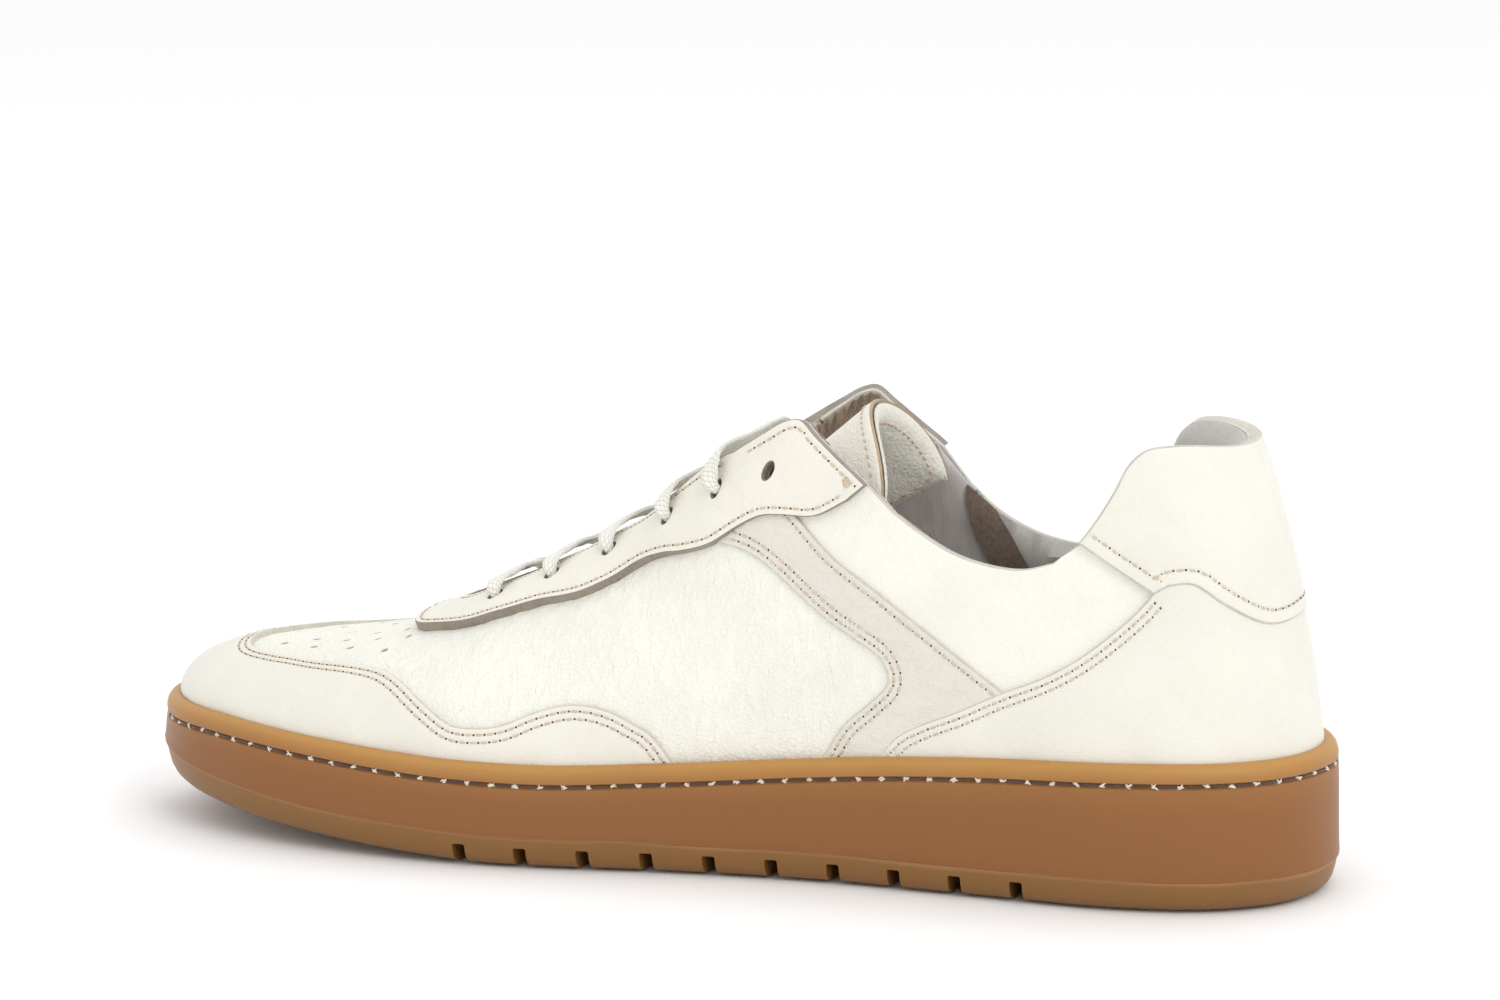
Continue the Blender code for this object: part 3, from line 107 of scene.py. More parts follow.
# --- panel edges -----------------------------------------------------------------------------------------
# in side elevation, in metres: (x, z)
TOE_GUARD_EDGE = [(-0.1218, 0.0419), (-0.1127, 0.0420), (-0.1027, 0.0423), (-0.0918, 0.0428),
                  (-0.0811, 0.0432), (-0.0764, 0.0428), (-0.0714, 0.0413), (-0.0634, 0.0369),
                  (-0.0564, 0.0332), (-0.0500, 0.0329), (-0.0440, 0.0339), (-0.0368, 0.0370),
                  (-0.0297, 0.0392), (-0.0237, 0.0395), (-0.0177, 0.0382), (-0.0123, 0.0357),
                  (-0.0080, 0.0333)]
TOE_GUARD_REAR = -0.0020       # where its edge meets the rim
TOE_GUARD_FRONT = 0.68         # rise of its edge at the toe tip
STRIPE_FRONT = [(0.0125, 0.0818), (0.0210, 0.0734), (0.0325, 0.0640), (0.0415, 0.0584), (0.0480, 0.0540),
                (0.0498, 0.0495), (0.0449, 0.0437), (0.0385, 0.0378)]
STRIPE_FRONT_FOOT = 0.0324     # where its front edge meets the rim
STRIPE_REAR = [(0.0245, 0.0858), (0.0348, 0.0779), (0.0477, 0.0692), (0.0605, 0.0605), (0.0765, 0.0496)]
FOXING_EDGE = [(0.0512, 0.0356), (0.0569, 0.0392), (0.0669, 0.0436), (0.0773, 0.0487), (0.0869, 0.0529),
               (0.0946, 0.0574), (0.1019, 0.0632), (0.1077, 0.0686), (0.1112, 0.0727)]
FOXING_FOOT = 0.0460
SEAM = [(0.0180, 0.0835), (0.0290, 0.0745), (0.0410, 0.0660), (0.0520, 0.0585), (0.0570, 0.0510),
        (0.0540, 0.0440), (0.0480, 0.0370)]       # vamp to quarter, under the stripe
SEAM_FOOT = 0.0420
HEEL_TAB_FRONT = [(0.0944, 0.0847), (0.1033, 0.0790), (0.1120, 0.0735)]
HEEL_TAB_LOWER = [(0.1152, 0.0754), (0.1201, 0.0756), (0.1267, 0.0707), (0.1340, 0.0658)]
HEEL_TAB_BACK = 0.0652         # height of its lower edge at the heel back
TOPLINE = {MEDIAL: [(0.0499, 0.0885), (0.0562, 0.0845), (0.0637, 0.0806), (0.0723, 0.0782),
                    (0.0808, 0.0776), (0.0885, 0.0796)],
           LATERAL: [(0.0499, 0.0858), (0.0562, 0.0805), (0.0637, 0.0762), (0.0723, 0.0735),
                     (0.0808, 0.0730), (0.0885, 0.0762)]}
COLLAR_FRONT = {MEDIAL: (0.0944, 0.0842), LATERAL: (0.0944, 0.0825)}
COLLAR_EDGE = [(0.0991, 0.0912), (0.1022, 0.0969), (0.1046, 0.1022), (0.1082, 0.1058), (0.1130, 0.1068),
               (0.1176, 0.1068), (0.1240, 0.1060)]
COLLAR_BACK = 0.1050           # height of the collar's edge at the heel back
LINING_SEAM = [(0.0520, 0.0850), (0.0575, 0.0750), (0.0650, 0.0620), (0.0730, 0.0480), (0.0770, 0.0400)]
LINING_SEAM_FOOT = 0.0800
BAND_HALF = 0.0050             # half width of the suede band over the lining seam, along X

# on the upper, as (x, rise)
THROAT_EDGE = [(-0.0640, 0.920), (-0.0550, 0.905), (-0.0400, 0.885), (-0.0250, 0.865), (-0.0100, 0.825),
               (0.0020, 0.730), (0.0090, 0.640)]
THROAT_FRONT = -0.0690         # front end of the throat, on the ridge
STAY_PEAK = [(0.0135, 0.600), (0.0180, 0.572), (0.0225, 0.560), (0.0262, 0.545), (0.0301, 0.500),
             (0.0366, 0.440), (0.0430, 0.390)]
STAY_LOWER = [(0.0385, 0.370), (0.0307, 0.358), (0.0231, 0.378), (0.0168, 0.406), (0.0107, 0.430),
              (0.0041, 0.455), (-0.0024, 0.500), (-0.0080, 0.550), (-0.0135, 0.582), (-0.0222, 0.575),
              (-0.0292, 0.570), (-0.0410, 0.615), (-0.0518, 0.630), (-0.0600, 0.640), (-0.0690, 0.680)]
STAY_TIP = -0.0800             # front end of the lace stay, on the ridge
STAY_TIP_ROUND = [(-0.0755, 0.740), (-0.0785, 0.840)]
EYELETS = [(-0.0550, 0.770), (-0.0397, 0.757), (-0.0243, 0.737), (-0.0082, 0.692), (0.0055, 0.590),
           (0.0190, 0.480)]    # front to top
PERFORATIONS = [(-0.0776, 0.70), (-0.0816, 0.60), (-0.0811, 0.82), (-0.0879, 0.77), (-0.0931, 0.68),
                (-0.0919, 0.91), (-0.0979, 0.81), (-0.1047, 0.71), (-0.1072, 0.82), (-0.1146, 0.71)]
COUNTER_TOP = 0.0620

# the tongue: its ridge in side elevation, and its half width and arch depth along X
TONGUE_RIDGE = [(-0.0720, 0.0445), (-0.0500, 0.0535), (-0.0300, 0.0625), (-0.0100, 0.0740),
                (0.0100, 0.0890), (0.0225, 0.0995), (0.0360, 0.1110)]
TONGUE_HALF = [(-0.072, 0.0110), (-0.050, 0.0130), (-0.030, 0.0150), (-0.010, 0.0170), (0.010, 0.0200),
               (0.036, 0.0222)]
TONGUE_ARCH = [(-0.072, 0.0030), (-0.050, 0.0050), (-0.030, 0.0080), (-0.010, 0.0130), (0.010, 0.0190),
               (0.036, 0.0255)]
TONGUE_TURN = math.radians(80)  # how far the arch turns from its ridge to its edge
FACING_DEPTH = 26 * MM          # leather facing inside the tongue's top

# the lace: straight bars over the throat; its two tails go down inside the shoe and forward to the toe
LACE_TAILS = {MEDIAL: 3, LATERAL: 4}      # the row where each side's tail goes in
TAIL_FLOOR = 9.5 * MM           # height of the tail's middle over the insole board
TAIL_ROUTE = {MEDIAL: [(-0.0085, 0.0560), (-0.0100, 0.0470), (-0.0135, 0.0380), (-0.0190, 0.0310)],
              LATERAL: [(0.0060, 0.0720), (0.0055, 0.0600), (0.0040, 0.0500), (0.0005, 0.0410),
                        (-0.0055, 0.0340), (-0.0140, 0.0285)]}      # (x, z) down the wall
TAIL_FORWARD = [-0.0300, -0.0420, -0.0540, -0.0660, -0.0780, -0.0890]    # x along the floor


# --- curves and the upper's surface ----------------------------------------------------------------------
def curve(points, at):
    """Smooth curve through (place, value) points, level beyond its two ends."""
    places, values = np.array(points, float).T
    slopes = np.gradient(values, places)
    at = np.clip(np.asarray(at, float), places[0], places[-1])
    i = np.clip(np.searchsorted(places, at, side="right") - 1, 0, len(places) - 2)
    step = places[i + 1] - places[i]
    t = (at - places[i]) / step
    return ((1 + 2 * t) * (1 - t) ** 2 * values[i] + t * (1 - t) ** 2 * step * slopes[i]
            + t * t * (3 - 2 * t) * values[i + 1] + t * t * (t - 1) * step * slopes[i + 1])


def smooth_path(points, steps, closed=False):
    """Centripetal Catmull-Rom curve through points, with so many steps between each two."""
    points = np.array(points, float)
    count = len(points)
    if not closed:
        first, last = 2 * points[0] - points[1], 2 * points[-1] - points[-2]
        points = np.vstack([first, points, last])
    out = []
    for i in range(count if closed else count - 1):
        if closed:
            p = [points[(i + k - 1) % count] for k in range(4)]
        else:
            p = list(points[i:i + 4])
        knots = np.cumsum([0] + [math.sqrt(np.linalg.norm(p[k + 1] - p[k])) for k in range(3)])
        t = np.linspace(knots[1], knots[2], steps, endpoint=False)[:, None]

        def between(a, b, ka, kb):
            return (kb - t) / (kb - ka) * a + (t - ka) / (kb - ka) * b

        a1, a2, a3 = (between(p[k], p[k + 1], knots[k], knots[k + 1]) for k in range(3))
        b1 = between(a1, a2, knots[0], knots[2])
        b2 = between(a2, a3, knots[1], knots[3])
        out.append(between(b1, b2, knots[1], knots[2]))
    if not closed:
        out.append(points[-2][None])
    return np.concatenate(out)


def outline_sides():
    """The sole's widest line, as one path from toe tip to heel back for each side, with its normals."""
    shares = np.array(MEDIAL_OUTLINE + LATERAL_OUTLINE[::-1])
    points = np.column_stack([(shares[:, 0] - 0.5) * LENGTH, shares[:, 1] * BALL_WIDTH / 2])
    loop = smooth_path(points, OUTLINE_STEPS, closed=True)
    loop -= (loop.max(0) + loop.min(0)) / 2
    turn = (len(MEDIAL_OUTLINE) - 1) * OUTLINE_STEPS
    paths = {MEDIAL: loop[:turn + 1], LATERAL: np.vstack([loop[:1], loop[:turn - 1:-1]])}
    sides = {}
    for side, path in paths.items():
        along = np.gradient(path, axis=0)
        along[0] = along[-1] = (0, 0)
        along[0, 1] = side
        along[-1, 1] = -side
        along /= np.linalg.norm(along, axis=1)[:, None]
        outward = np.column_stack([-along[:, 1], along[:, 0]]) * side
        run = np.concatenate([[0], np.cumsum(np.linalg.norm(np.diff(path, axis=0), axis=1))])
        sides[side] = (path, outward, run / run[-1])
    return sides


OUTLINE = outline_sides()
UPPER_INSET = RIM_WALL + GAP   # the base leather's outside, inside the widest line
LOW_RISE = -0.25               # rise at the upper's bottom edge


def wall(side, run, inset=0.0):
    """Plan position(s) of the sole's wall, so far inside its widest line."""
    path, outward, runs = OUTLINE[side]
    line = path - outward * inset
    return np.stack([np.interp(run, runs, line[:, 0]), np.interp(run, runs, line[:, 1])], -1)


def ground(x):
    """Height of the tread's underside: flat, then lifting to the toe."""
    share = np.clip((SPRING_START - np.asarray(x, float)) / (LENGTH / 2 + SPRING_START), 0, None)
    return TOE_SPRING * share ** 1.4


def upper(side, run, rise):
    """Point(s) on the outside of the base leather."""
    run, rise = np.broadcast_arrays(np.asarray(run, float), np.asarray(rise, float))
    foot = wall(side, run, UPPER_INSET)
    rim = curve(RIM_HEIGHT, foot[..., 0])
    low = curve(BOARD_HEIGHT, foot[..., 0]) + GAP
    ridge_x = curve(RIDGE_BEHIND, foot[..., 0])
    ridge_y = curve(RIDGE_OFFSET, ridge_x)
    ridge_z = curve(RIDGE_HEIGHT, ridge_x)
    angle = np.clip(rise, 0, 1) * math.pi / 2
    up = np.sin(angle)
    lean = curve(HEEL_LEAN, run)
    fullness = curve(FULLNESS, ridge_x)
    inward = lean * up + (1 - lean) * (1 - np.clip(np.cos(angle), 0, 1) ** fullness)
    x = foot[..., 0] + (ridge_x - foot[..., 0]) * inward
    y = foot[..., 1] + (ridge_y - foot[..., 1]) * inward
    below = np.clip(rise / LOW_RISE, 0, 1)
    z = rim + (ridge_z - rim) * up - (rim - low) * below
    return np.stack([x, y, z], -1)


def outward(side, run, rise):
    """Unit normal(s) of the upper's surface, pointing out of the shoe."""
    step = 0.004
    run = np.clip(run, step, 1 - step)
    rise = np.clip(rise, LOW_RISE, 1 - step)
    along = upper(side, run + step, rise) - upper(side, run - step, rise)
    across = upper(side, run, rise + step) - upper(side, run, rise - step)
    normal = np.cross(along, across) * -side
    return normal / np.linalg.norm(normal, axis=-1, keepdims=True)


SEARCH_RUNS = np.linspace(0, 1, 161)
SEARCH_RISES = np.linspace(0, 1, 61)
SEARCH = {side: upper(side, SEARCH_RUNS[:, None], SEARCH_RISES[None]) for side in SIDES.values()}


def find(side, x, z):
    """The (run, rise) where the surface has this x and this z."""
    pick = [0, 2]
    goal = np.array([x, z])
    miss = np.linalg.norm(SEARCH[side][..., pick] - goal, axis=-1)
    i, j = np.unravel_index(np.argmin(miss), miss.shape)
    place = np.array([SEARCH_RUNS[i], SEARCH_RISES[j]])
    step = 1e-4
    for _ in range(12):
        here = upper(side, *place)[pick]
        jacobian = np.column_stack([(upper(side, place[0] + step, place[1])[pick] - here) / step,
                                    (upper(side, place[0], place[1] + step)[pick] - here) / step])
        if abs(np.linalg.det(jacobian)) < 1e-9:
            break
        move = np.linalg.solve(jacobian, goal - here)
        place = np.clip(place + np.clip(move, -0.05, 0.05), 0.0, 1.0)
    return tuple(place)


def in_side_view(side, points):
    return [find(side, x, z) for x, z in points]


def at_rise(side, points):
    """Places for (x, rise) points."""
    runs = np.linspace(0, 1, 400)
    return [(float(np.interp(x, upper(side, runs, rise)[:, 0], runs)), rise) for x, rise in points]


def at_height(side, run, z):
    """The rise at which the surface has this height, for this run."""
    rises = np.linspace(0, 1, 200)
    return float(np.interp(z, upper(side, run, rises)[:, 2], rises))


def ridge_run(side, x):
    """The run whose section ends at this x on the ridge line."""
    runs = np.linspace(0, 1, 400)
    return float(np.interp(x, curve(RIDGE_BEHIND, wall(side, runs, UPPER_INSET)[:, 0]), runs))


SEAM_SHARE = 0.0008            # half the gap at a butted seam, as a run


ON_TOP = LAYER_GAP
UNDER = -(LEATHER + LAYER_GAP)
LINING_FACE = UNDER - STIFFENER_ROOM - LAYER_GAP
INNER_FACE = LINING_FACE - LINING
LACE_DEPTH = INNER_FACE - LAYER_GAP - GAP - LACE_THICKNESS / 2      # middle of a lace run under the lining


def tongue_point(x, turn, depth):
    """A point of the tongue: x on its ridge, turn -1..1 across its arch, depth below its outer face."""
    step = 0.5 * MM
    z = float(curve(TONGUE_RIDGE, x))
    low, high = max(x - step, TONGUE_RIDGE[0][0]), min(x + step, TONGUE_RIDGE[-1][0])
    slope = float(curve(TONGUE_RIDGE, high) - curve(TONGUE_RIDGE, low)) / (high - low)
    along = np.array([1.0, 0.0, slope]) / math.hypot(1.0, slope)
    down = np.array([along[2], 0.0, -along[0]])
    angle = turn * TONGUE_TURN
    half = float(curve(TONGUE_HALF, x)) * BALL_WIDTH / DRAWN_WIDTH
    arch = float(curve(TONGUE_ARCH, x))
    across, drop = half / math.sin(TONGUE_TURN), arch / (1 - math.cos(TONGUE_TURN))
    rise, reach = drop * math.sin(TONGUE_TURN), across * math.cos(TONGUE_TURN)
    lean = math.sin(angle) / math.sin(TONGUE_TURN) * rise / math.hypot(rise, reach)
    normal = np.array([0.0, lean, 0.0]) - down * math.sqrt(1 - lean * lean)
    ridge = np.array([x, float(curve(RIDGE_OFFSET, x)), z])
    point = ridge + np.array([0, across * math.sin(angle), 0]) + down * drop * (1 - math.cos(angle))
    return point - normal * depth


def lace_place(side, row, depth, toward_throat=0.0):
    """A point at an eyelet, set off along its outward normal by the depth, and the direction along the eyelet row.
    """
    (run, rise), = at_rise(side, [EYELETS[row]])
    step = 0.01
    across = np.linalg.norm(upper(side, run, rise + step) - upper(side, run, rise - step)) / (2 * step)
    rise += toward_throat / across
    normal = outward(side, run, rise)
    along = upper(side, run + step, rise) - upper(side, run - step, rise)
    return upper(side, run, rise) + normal * depth, along / np.linalg.norm(along)


UNDER_WIDTH = 3.2 * MM


def under_run(side, first, last, bow):
    """Stops of the lace inside the shoe from one row to another, bowed toward or away from the throat."""
    (run_a, rise_a), (run_b, rise_b) = at_rise(side, [EYELETS[first], EYELETS[last]])
    stops = []
    for share in np.linspace(0.0, 1.0, 3 + 2 * (last - first))[1:-1]:
        run = run_a + (run_b - run_a) * share
        rise = rise_a + (rise_b - rise_a) * share + bow * math.sin(math.pi * share)
        step = 0.01
        across = upper(side, run, rise + step) - upper(side, run, rise - step)
        stops.append((upper(side, run, rise) + outward(side, run, rise) * LACE_DEPTH,
                      across / np.linalg.norm(across), UNDER_WIDTH))
    return stops


def wall_stop(side, x, z, width):
    """A stop of the lace lying flat against the lining at this x and z."""
    run = foot_run(side, x)
    rim = curve(RIM_HEIGHT, wall(side, run, UPPER_INSET)[0])
    if z > rim:
        run, rise = find(side, x, z)
    else:
        rise = LOW_RISE * (rim - z) / (rim - curve(BOARD_HEIGHT, x) - GAP)
    step = 0.01
    across = upper(side, run, rise + step) - upper(side, run, rise - step)
    return (upper(side, run, rise) + outward(side, run, rise) * (LACE_DEPTH - GAP),
            across / np.linalg.norm(across), width)


def facing_out(stops):
    """Stops at an eyelet, turned so that their width axis keeps one sense along the lace."""
    turned = [stops[0]]
    for point, axis, width in stops[1:]:
        turned.append((point, axis if axis @ turned[-1][1] >= -0.05 else -axis, width))
    return turned


def tail_stops(side):
    """The loose tail's stops, from below its eyelet to its end near the toe."""
    route = TAIL_ROUTE[side] + [(x, float(curve(BOARD_HEIGHT, x)) + TAIL_FLOOR) for x in TAIL_FORWARD]
    return [wall_stop(side, x, z, LACE_WIDTH) for x, z in route]


def tail_turn(side):
    """Stops from an eyelet's inside down to where the loose tail begins."""
    row = LACE_TAILS[side]
    start, along = lace_place(side, row, LACE_DEPTH - 0.6 * MM, -3.0 * MM)
    begin = wall_stop(side, *TAIL_ROUTE[side][0], LACE_WIDTH)
    follow = wall_stop(side, *TAIL_ROUTE[side][1], LACE_WIDTH)
    back = (begin[0] - follow[0]) / np.linalg.norm(begin[0] - follow[0])
    return [(start, along, UNDER_WIDTH), (begin[0] + back * 2 * GAP, along, LACE_WIDTH)]


# --- camera ----------------------------------------------------------------------------------------------
AZIMUTH, ELEVATION, DISTANCE = math.radians(19.5), math.radians(9.8), 1.02
TARGET = Vector((0.004, -0.0030, 0.0845))
LENS, SENSOR = 100.8, 36.0     # in millimetres, as the camera takes them


def make_camera():
    data = bpy.data.cameras.new("camera")
    data.lens, data.sensor_width = LENS, SENSOR
    data.clip_start, data.clip_end = 0.02, 20.0
    made = bpy.data.objects.new("camera", data)
    bpy.context.collection.objects.link(made)
    back = Vector((math.sin(AZIMUTH) * math.cos(ELEVATION), -math.cos(AZIMUTH) * math.cos(ELEVATION),
                   math.sin(ELEVATION)))
    made.location = TARGET + back * DISTANCE
    made.rotation_mode = "QUATERNION"
    made.rotation_quaternion = (-back).to_track_quat("-Z", "Y")
    bpy.context.scene.camera = made


make_camera()


# --- materials -------------------------------------------------------------------------------------------
def new_material(name, colour, roughness, **more):
    """A material with a Principled shader; what is uniform is set on its own sockets."""
    made = bpy.data.materials.new(name)
    made.use_nodes = True
    shader = made.node_tree.nodes["Principled BSDF"]
    shader.inputs["Base Color"].default_value = (*colour, 1.0)
    shader.inputs["Roughness"].default_value = roughness
    for socket, value in more.items():
        shader.inputs[socket.replace("_", " ")].default_value = value
    return made, made.node_tree, shader


def node(tree, kind, **values):
    made = tree.nodes.new(kind)
    for name, value in values.items():
        if name in made.inputs:
            made.inputs[name].default_value = value
        else:
            setattr(made, name, value)
    return made


def coordinates(tree, stretch=(1.0, 1.0, 1.0)):
    where = node(tree, "ShaderNodeTexCoord")
    mapping = node(tree, "ShaderNodeMapping")
    mapping.inputs["Scale"].default_value = stretch
    tree.links.new(where.outputs["Object"], mapping.inputs["Vector"])
    return mapping.outputs["Vector"]


def noise(tree, vector, scale, detail=3.0, rough=0.5):
    made = node(tree, "ShaderNodeTexNoise", Scale=scale, Detail=detail, Roughness=rough)
    tree.links.new(vector, made.inputs["Vector"])
    return made.outputs["Fac"]


def ramp(tree, source, stops):
    made = node(tree, "ShaderNodeValToRGB")
    made.color_ramp.elements[0].position, made.color_ramp.elements[0].color = stops[0][0], (*stops[0][1], 1)
    made.color_ramp.elements[1].position, made.color_ramp.elements[1].color = stops[-1][0], (*stops[-1][1], 1)
    for place, colour in stops[1:-1]:
        made.color_ramp.elements.new(place).color = (*colour, 1)
    tree.links.new(source, made.inputs["Fac"])
    return made.outputs["Color"]


def math_node(tree, operation, a, b=None, clamp=False):
    made = node(tree, "ShaderNodeMath", operation=operation, use_clamp=clamp)
    for socket, value in zip(made.inputs, (a, b)):
        if isinstance(value, (int, float)):
            socket.default_value = value
        elif value is not None:
            tree.links.new(value, socket)
    return made.outputs[0]


def bump(tree, shader, height, distance, strength=1.0, under=None):
    made = node(tree, "ShaderNodeBump", Strength=strength, Distance=distance)
    tree.links.new(height, made.inputs["Height"])
    if under is not None:
        tree.links.new(under, made.inputs["Normal"])
    tree.links.new(made.outputs["Normal"], shader.inputs["Normal"])
    return made.outputs["Normal"]


def blend(tree, *parts):
    """The sum of (value, share) parts."""
    total = None
    for value, share in parts:
        term = math_node(tree, "MULTIPLY", value, share)
        total = term if total is None else math_node(tree, "ADD", total, term)
    return total


def set_range(tree, shader, source, low, high):
    """Roughness between two values, as the source says."""
    spread = node(tree, "ShaderNodeMapRange")
    spread.inputs["To Min"].default_value, spread.inputs["To Max"].default_value = low, high
    tree.links.new(source, spread.inputs["Value"])
    tree.links.new(spread.outputs["Result"], shader.inputs["Roughness"])


def shade(colour, factor):
    return tuple(min(1.0, c * factor) for c in colour)


def leather(name, colour, roughness, cell, depth, crease=0.0, crease_stretch=(1, 1, 1), painted_hollow_shade=0.22):
    """Coated leather: pebbled grain, pores, soft creases, a faint change of tone, and painted shade in the grain
    lines and crease hollows.
    """
    made, tree, shader = new_material(name, colour, roughness, Coat_Weight=0.06, Coat_Roughness=0.35)
    place = coordinates(tree)
    tone = noise(tree, place, 38.0, 4.0)
    fine = noise(tree, place, 900.0, 2.0)
    mixed = blend(tree, (tone, 0.8), (fine, 0.2))
    toned = ramp(tree, mixed, [(0.25, shade(colour, 0.93)), (0.55, colour), (0.8, shade(colour, 1.03))])
    warped = node(tree, "ShaderNodeVectorMath", operation="ADD")
    wobble = node(tree, "ShaderNodeTexNoise", Scale=260.0, Detail=2.0)
    tree.links.new(place, wobble.inputs["Vector"])
    small = node(tree, "ShaderNodeVectorMath", operation="SCALE")
    small.inputs["Scale"].default_value = 0.0012
    tree.links.new(wobble.outputs["Color"], small.inputs[0])
    tree.links.new(place, warped.inputs[0])
    tree.links.new(small.outputs[0], warped.inputs[1])
    grain = node(tree, "ShaderNodeTexVoronoi", feature="DISTANCE_TO_EDGE", Scale=1.0 / cell)
    tree.links.new(warped.outputs[0], grain.inputs["Vector"])
    pebble = math_node(tree, "MINIMUM", math_node(tree, "MULTIPLY", grain.outputs["Distance"], 3.2), 1.0)
    lines = math_node(tree, "SUBTRACT", 1.0, math_node(tree, "POWER", pebble, 0.5))
    normal = bump(tree, shader, pebble, depth, 0.8)
    normal = bump(tree, shader, fine, depth * 0.5, 0.5, normal)
    if crease:
        lined = coordinates(tree, crease_stretch)
        folds = noise(tree, lined, 150.0, 5.0, 0.62)
        ridged = math_node(tree, "ABSOLUTE", math_node(tree, "SUBTRACT", folds, 0.5))
        sharp = math_node(tree, "MINIMUM", math_node(tree, "MULTIPLY", ridged, 9.0), 1.0)
        normal = bump(tree, shader, sharp, crease, 0.7, normal)
        lines = math_node(tree, "ADD", lines, math_node(tree, "MULTIPLY",
                                                        math_node(tree, "SUBTRACT", 1.0, sharp), 0.7))
    # painted shade: the grain lines and crease hollows are multiplied towards grey-beige, as strongly as the last
    # argument says
    shadow = node(tree, "ShaderNodeMix", data_type="RGBA", blend_type="MULTIPLY")
    tree.links.new(math_node(tree, "MULTIPLY", lines, painted_hollow_shade, True), shadow.inputs[0])
    tree.links.new(toned, shadow.inputs[6])
    shadow.inputs[7].default_value = (0.72, 0.68, 0.58, 1.0)
    tree.links.new(shadow.outputs[2], shader.inputs["Base Color"])
    set_range(tree, shader, tone, roughness - 0.07, roughness + 0.1)
    return made


def fibrous(name, dark, light, scale, depth, roughness=0.95, sheen=0.3, stretch=(1, 1, 1)):
    """Suede, raw edges, thread, foam and board: a matte, fibrous surface."""
    made, tree, shader = new_material(name, light, roughness, Sheen_Weight=sheen, Sheen_Roughness=0.5)
    place = coordinates(tree, stretch)
    fine, wide = noise(tree, place, scale, 4.0, 0.7), noise(tree, place, scale * 0.12, 3.0)
    mixed = blend(tree, (fine, 0.6), (wide, 0.4))
    tree.links.new(ramp(tree, mixed, [(0.3, dark), (0.7, light)]), shader.inputs["Base Color"])
    bump(tree, shader, fine, depth)
    return made


def textile(name, dark, light, pitch, depth):
    """A smooth, slightly wrinkled woven lining with painted shade in its wrinkle hollows, suede where the piece's
    "suede" values are high.
    """
    made, tree, shader = new_material(name, light, 0.72, Sheen_Weight=0.35, Sheen_Roughness=0.45)
    place = coordinates(tree)
    wave = node(tree, "ShaderNodeTexWave", Scale=0.314 / pitch, Distortion=1.2)
    tree.links.new(place, wave.inputs["Vector"])
    tone = noise(tree, place, 55.0, 4.0)
    fold = noise(tree, coordinates(tree, (1.5, 1.0, 0.5)), 130.0, 3.0, 0.55)
    # the wrinkle field also sets half the colour: painted shade in the wrinkle hollows, lighter on their ridges
    mixed = blend(tree, (wave.outputs["Fac"], 0.08), (tone, 0.42), (fold, 0.5))
    cloth = ramp(tree, mixed, [(0.3, dark), (0.7, light)])
    nap = noise(tree, place, 1100.0, 4.0, 0.7)
    suede = ramp(tree, nap, [(0.3, (0.16, 0.118, 0.082)), (0.7, (0.30, 0.225, 0.16))])
    there = node(tree, "ShaderNodeAttribute", attribute_name="suede")
    edge = math_node(tree, "MULTIPLY", math_node(tree, "SUBTRACT", there.outputs["Fac"], 0.48), 25.0, True)
    both = node(tree, "ShaderNodeMix", data_type="RGBA")
    tree.links.new(edge, both.inputs[0])
    tree.links.new(cloth, both.inputs[6])
    tree.links.new(suede, both.inputs[7])
    tree.links.new(both.outputs[2], shader.inputs["Base Color"])
    under = bump(tree, shader, fold, 0.0012, 0.6)
    bump(tree, shader, math_node(tree, "ADD", wave.outputs["Fac"], nap), depth, 0.4, under)
    return made


def gum_rubber(name):
    """Translucent-looking gum rubber: amber on the wall, olive under the parting line, and painted lighter and
    yellower from the groove up to the rim's top face as painted light from above.
    """
    made, tree, shader = new_material(name, (0.27, 0.12, 0.04), 0.42, Specular_IOR_Level=0.4,
                                      Subsurface_Weight=0.12, Subsurface_Scale=0.004)
    shader.inputs["Subsurface Radius"].default_value = (1.0, 0.45, 0.15)
    place = coordinates(tree)
    heights = node(tree, "ShaderNodeAttribute", attribute_name="band")
    fine, wide = noise(tree, place, 1500.0, 3.0, 0.7), noise(tree, place, 22.0, 4.0)
    mottle = math_node(tree, "MULTIPLY", math_node(tree, "SUBTRACT", wide, 0.5), 0.12)
    level = math_node(tree, "ADD", heights.outputs["Fac"], mottle)
    # the stops from 0.84 to 1.0 are painted light: the upper wall and the rim's upward face lighten towards the top
    colour = ramp(tree, level, [(0.0, (0.215, 0.100, 0.024)), (0.30, (0.235, 0.108, 0.026)),
                                (0.34, (0.35, 0.18, 0.065)), (0.375, (0.24, 0.090, 0.019)),
                                (0.70, (0.26, 0.100, 0.022)), (0.84, (0.30, 0.125, 0.032)),
                                (0.91, (0.35, 0.155, 0.038)), (1.0, (0.46, 0.235, 0.058))])
    tree.links.new(colour, shader.inputs["Base Color"])
    set_range(tree, shader, wide, 0.30, 0.52)
    bump(tree, shader, fine, 0.00012, 0.55)
    return made


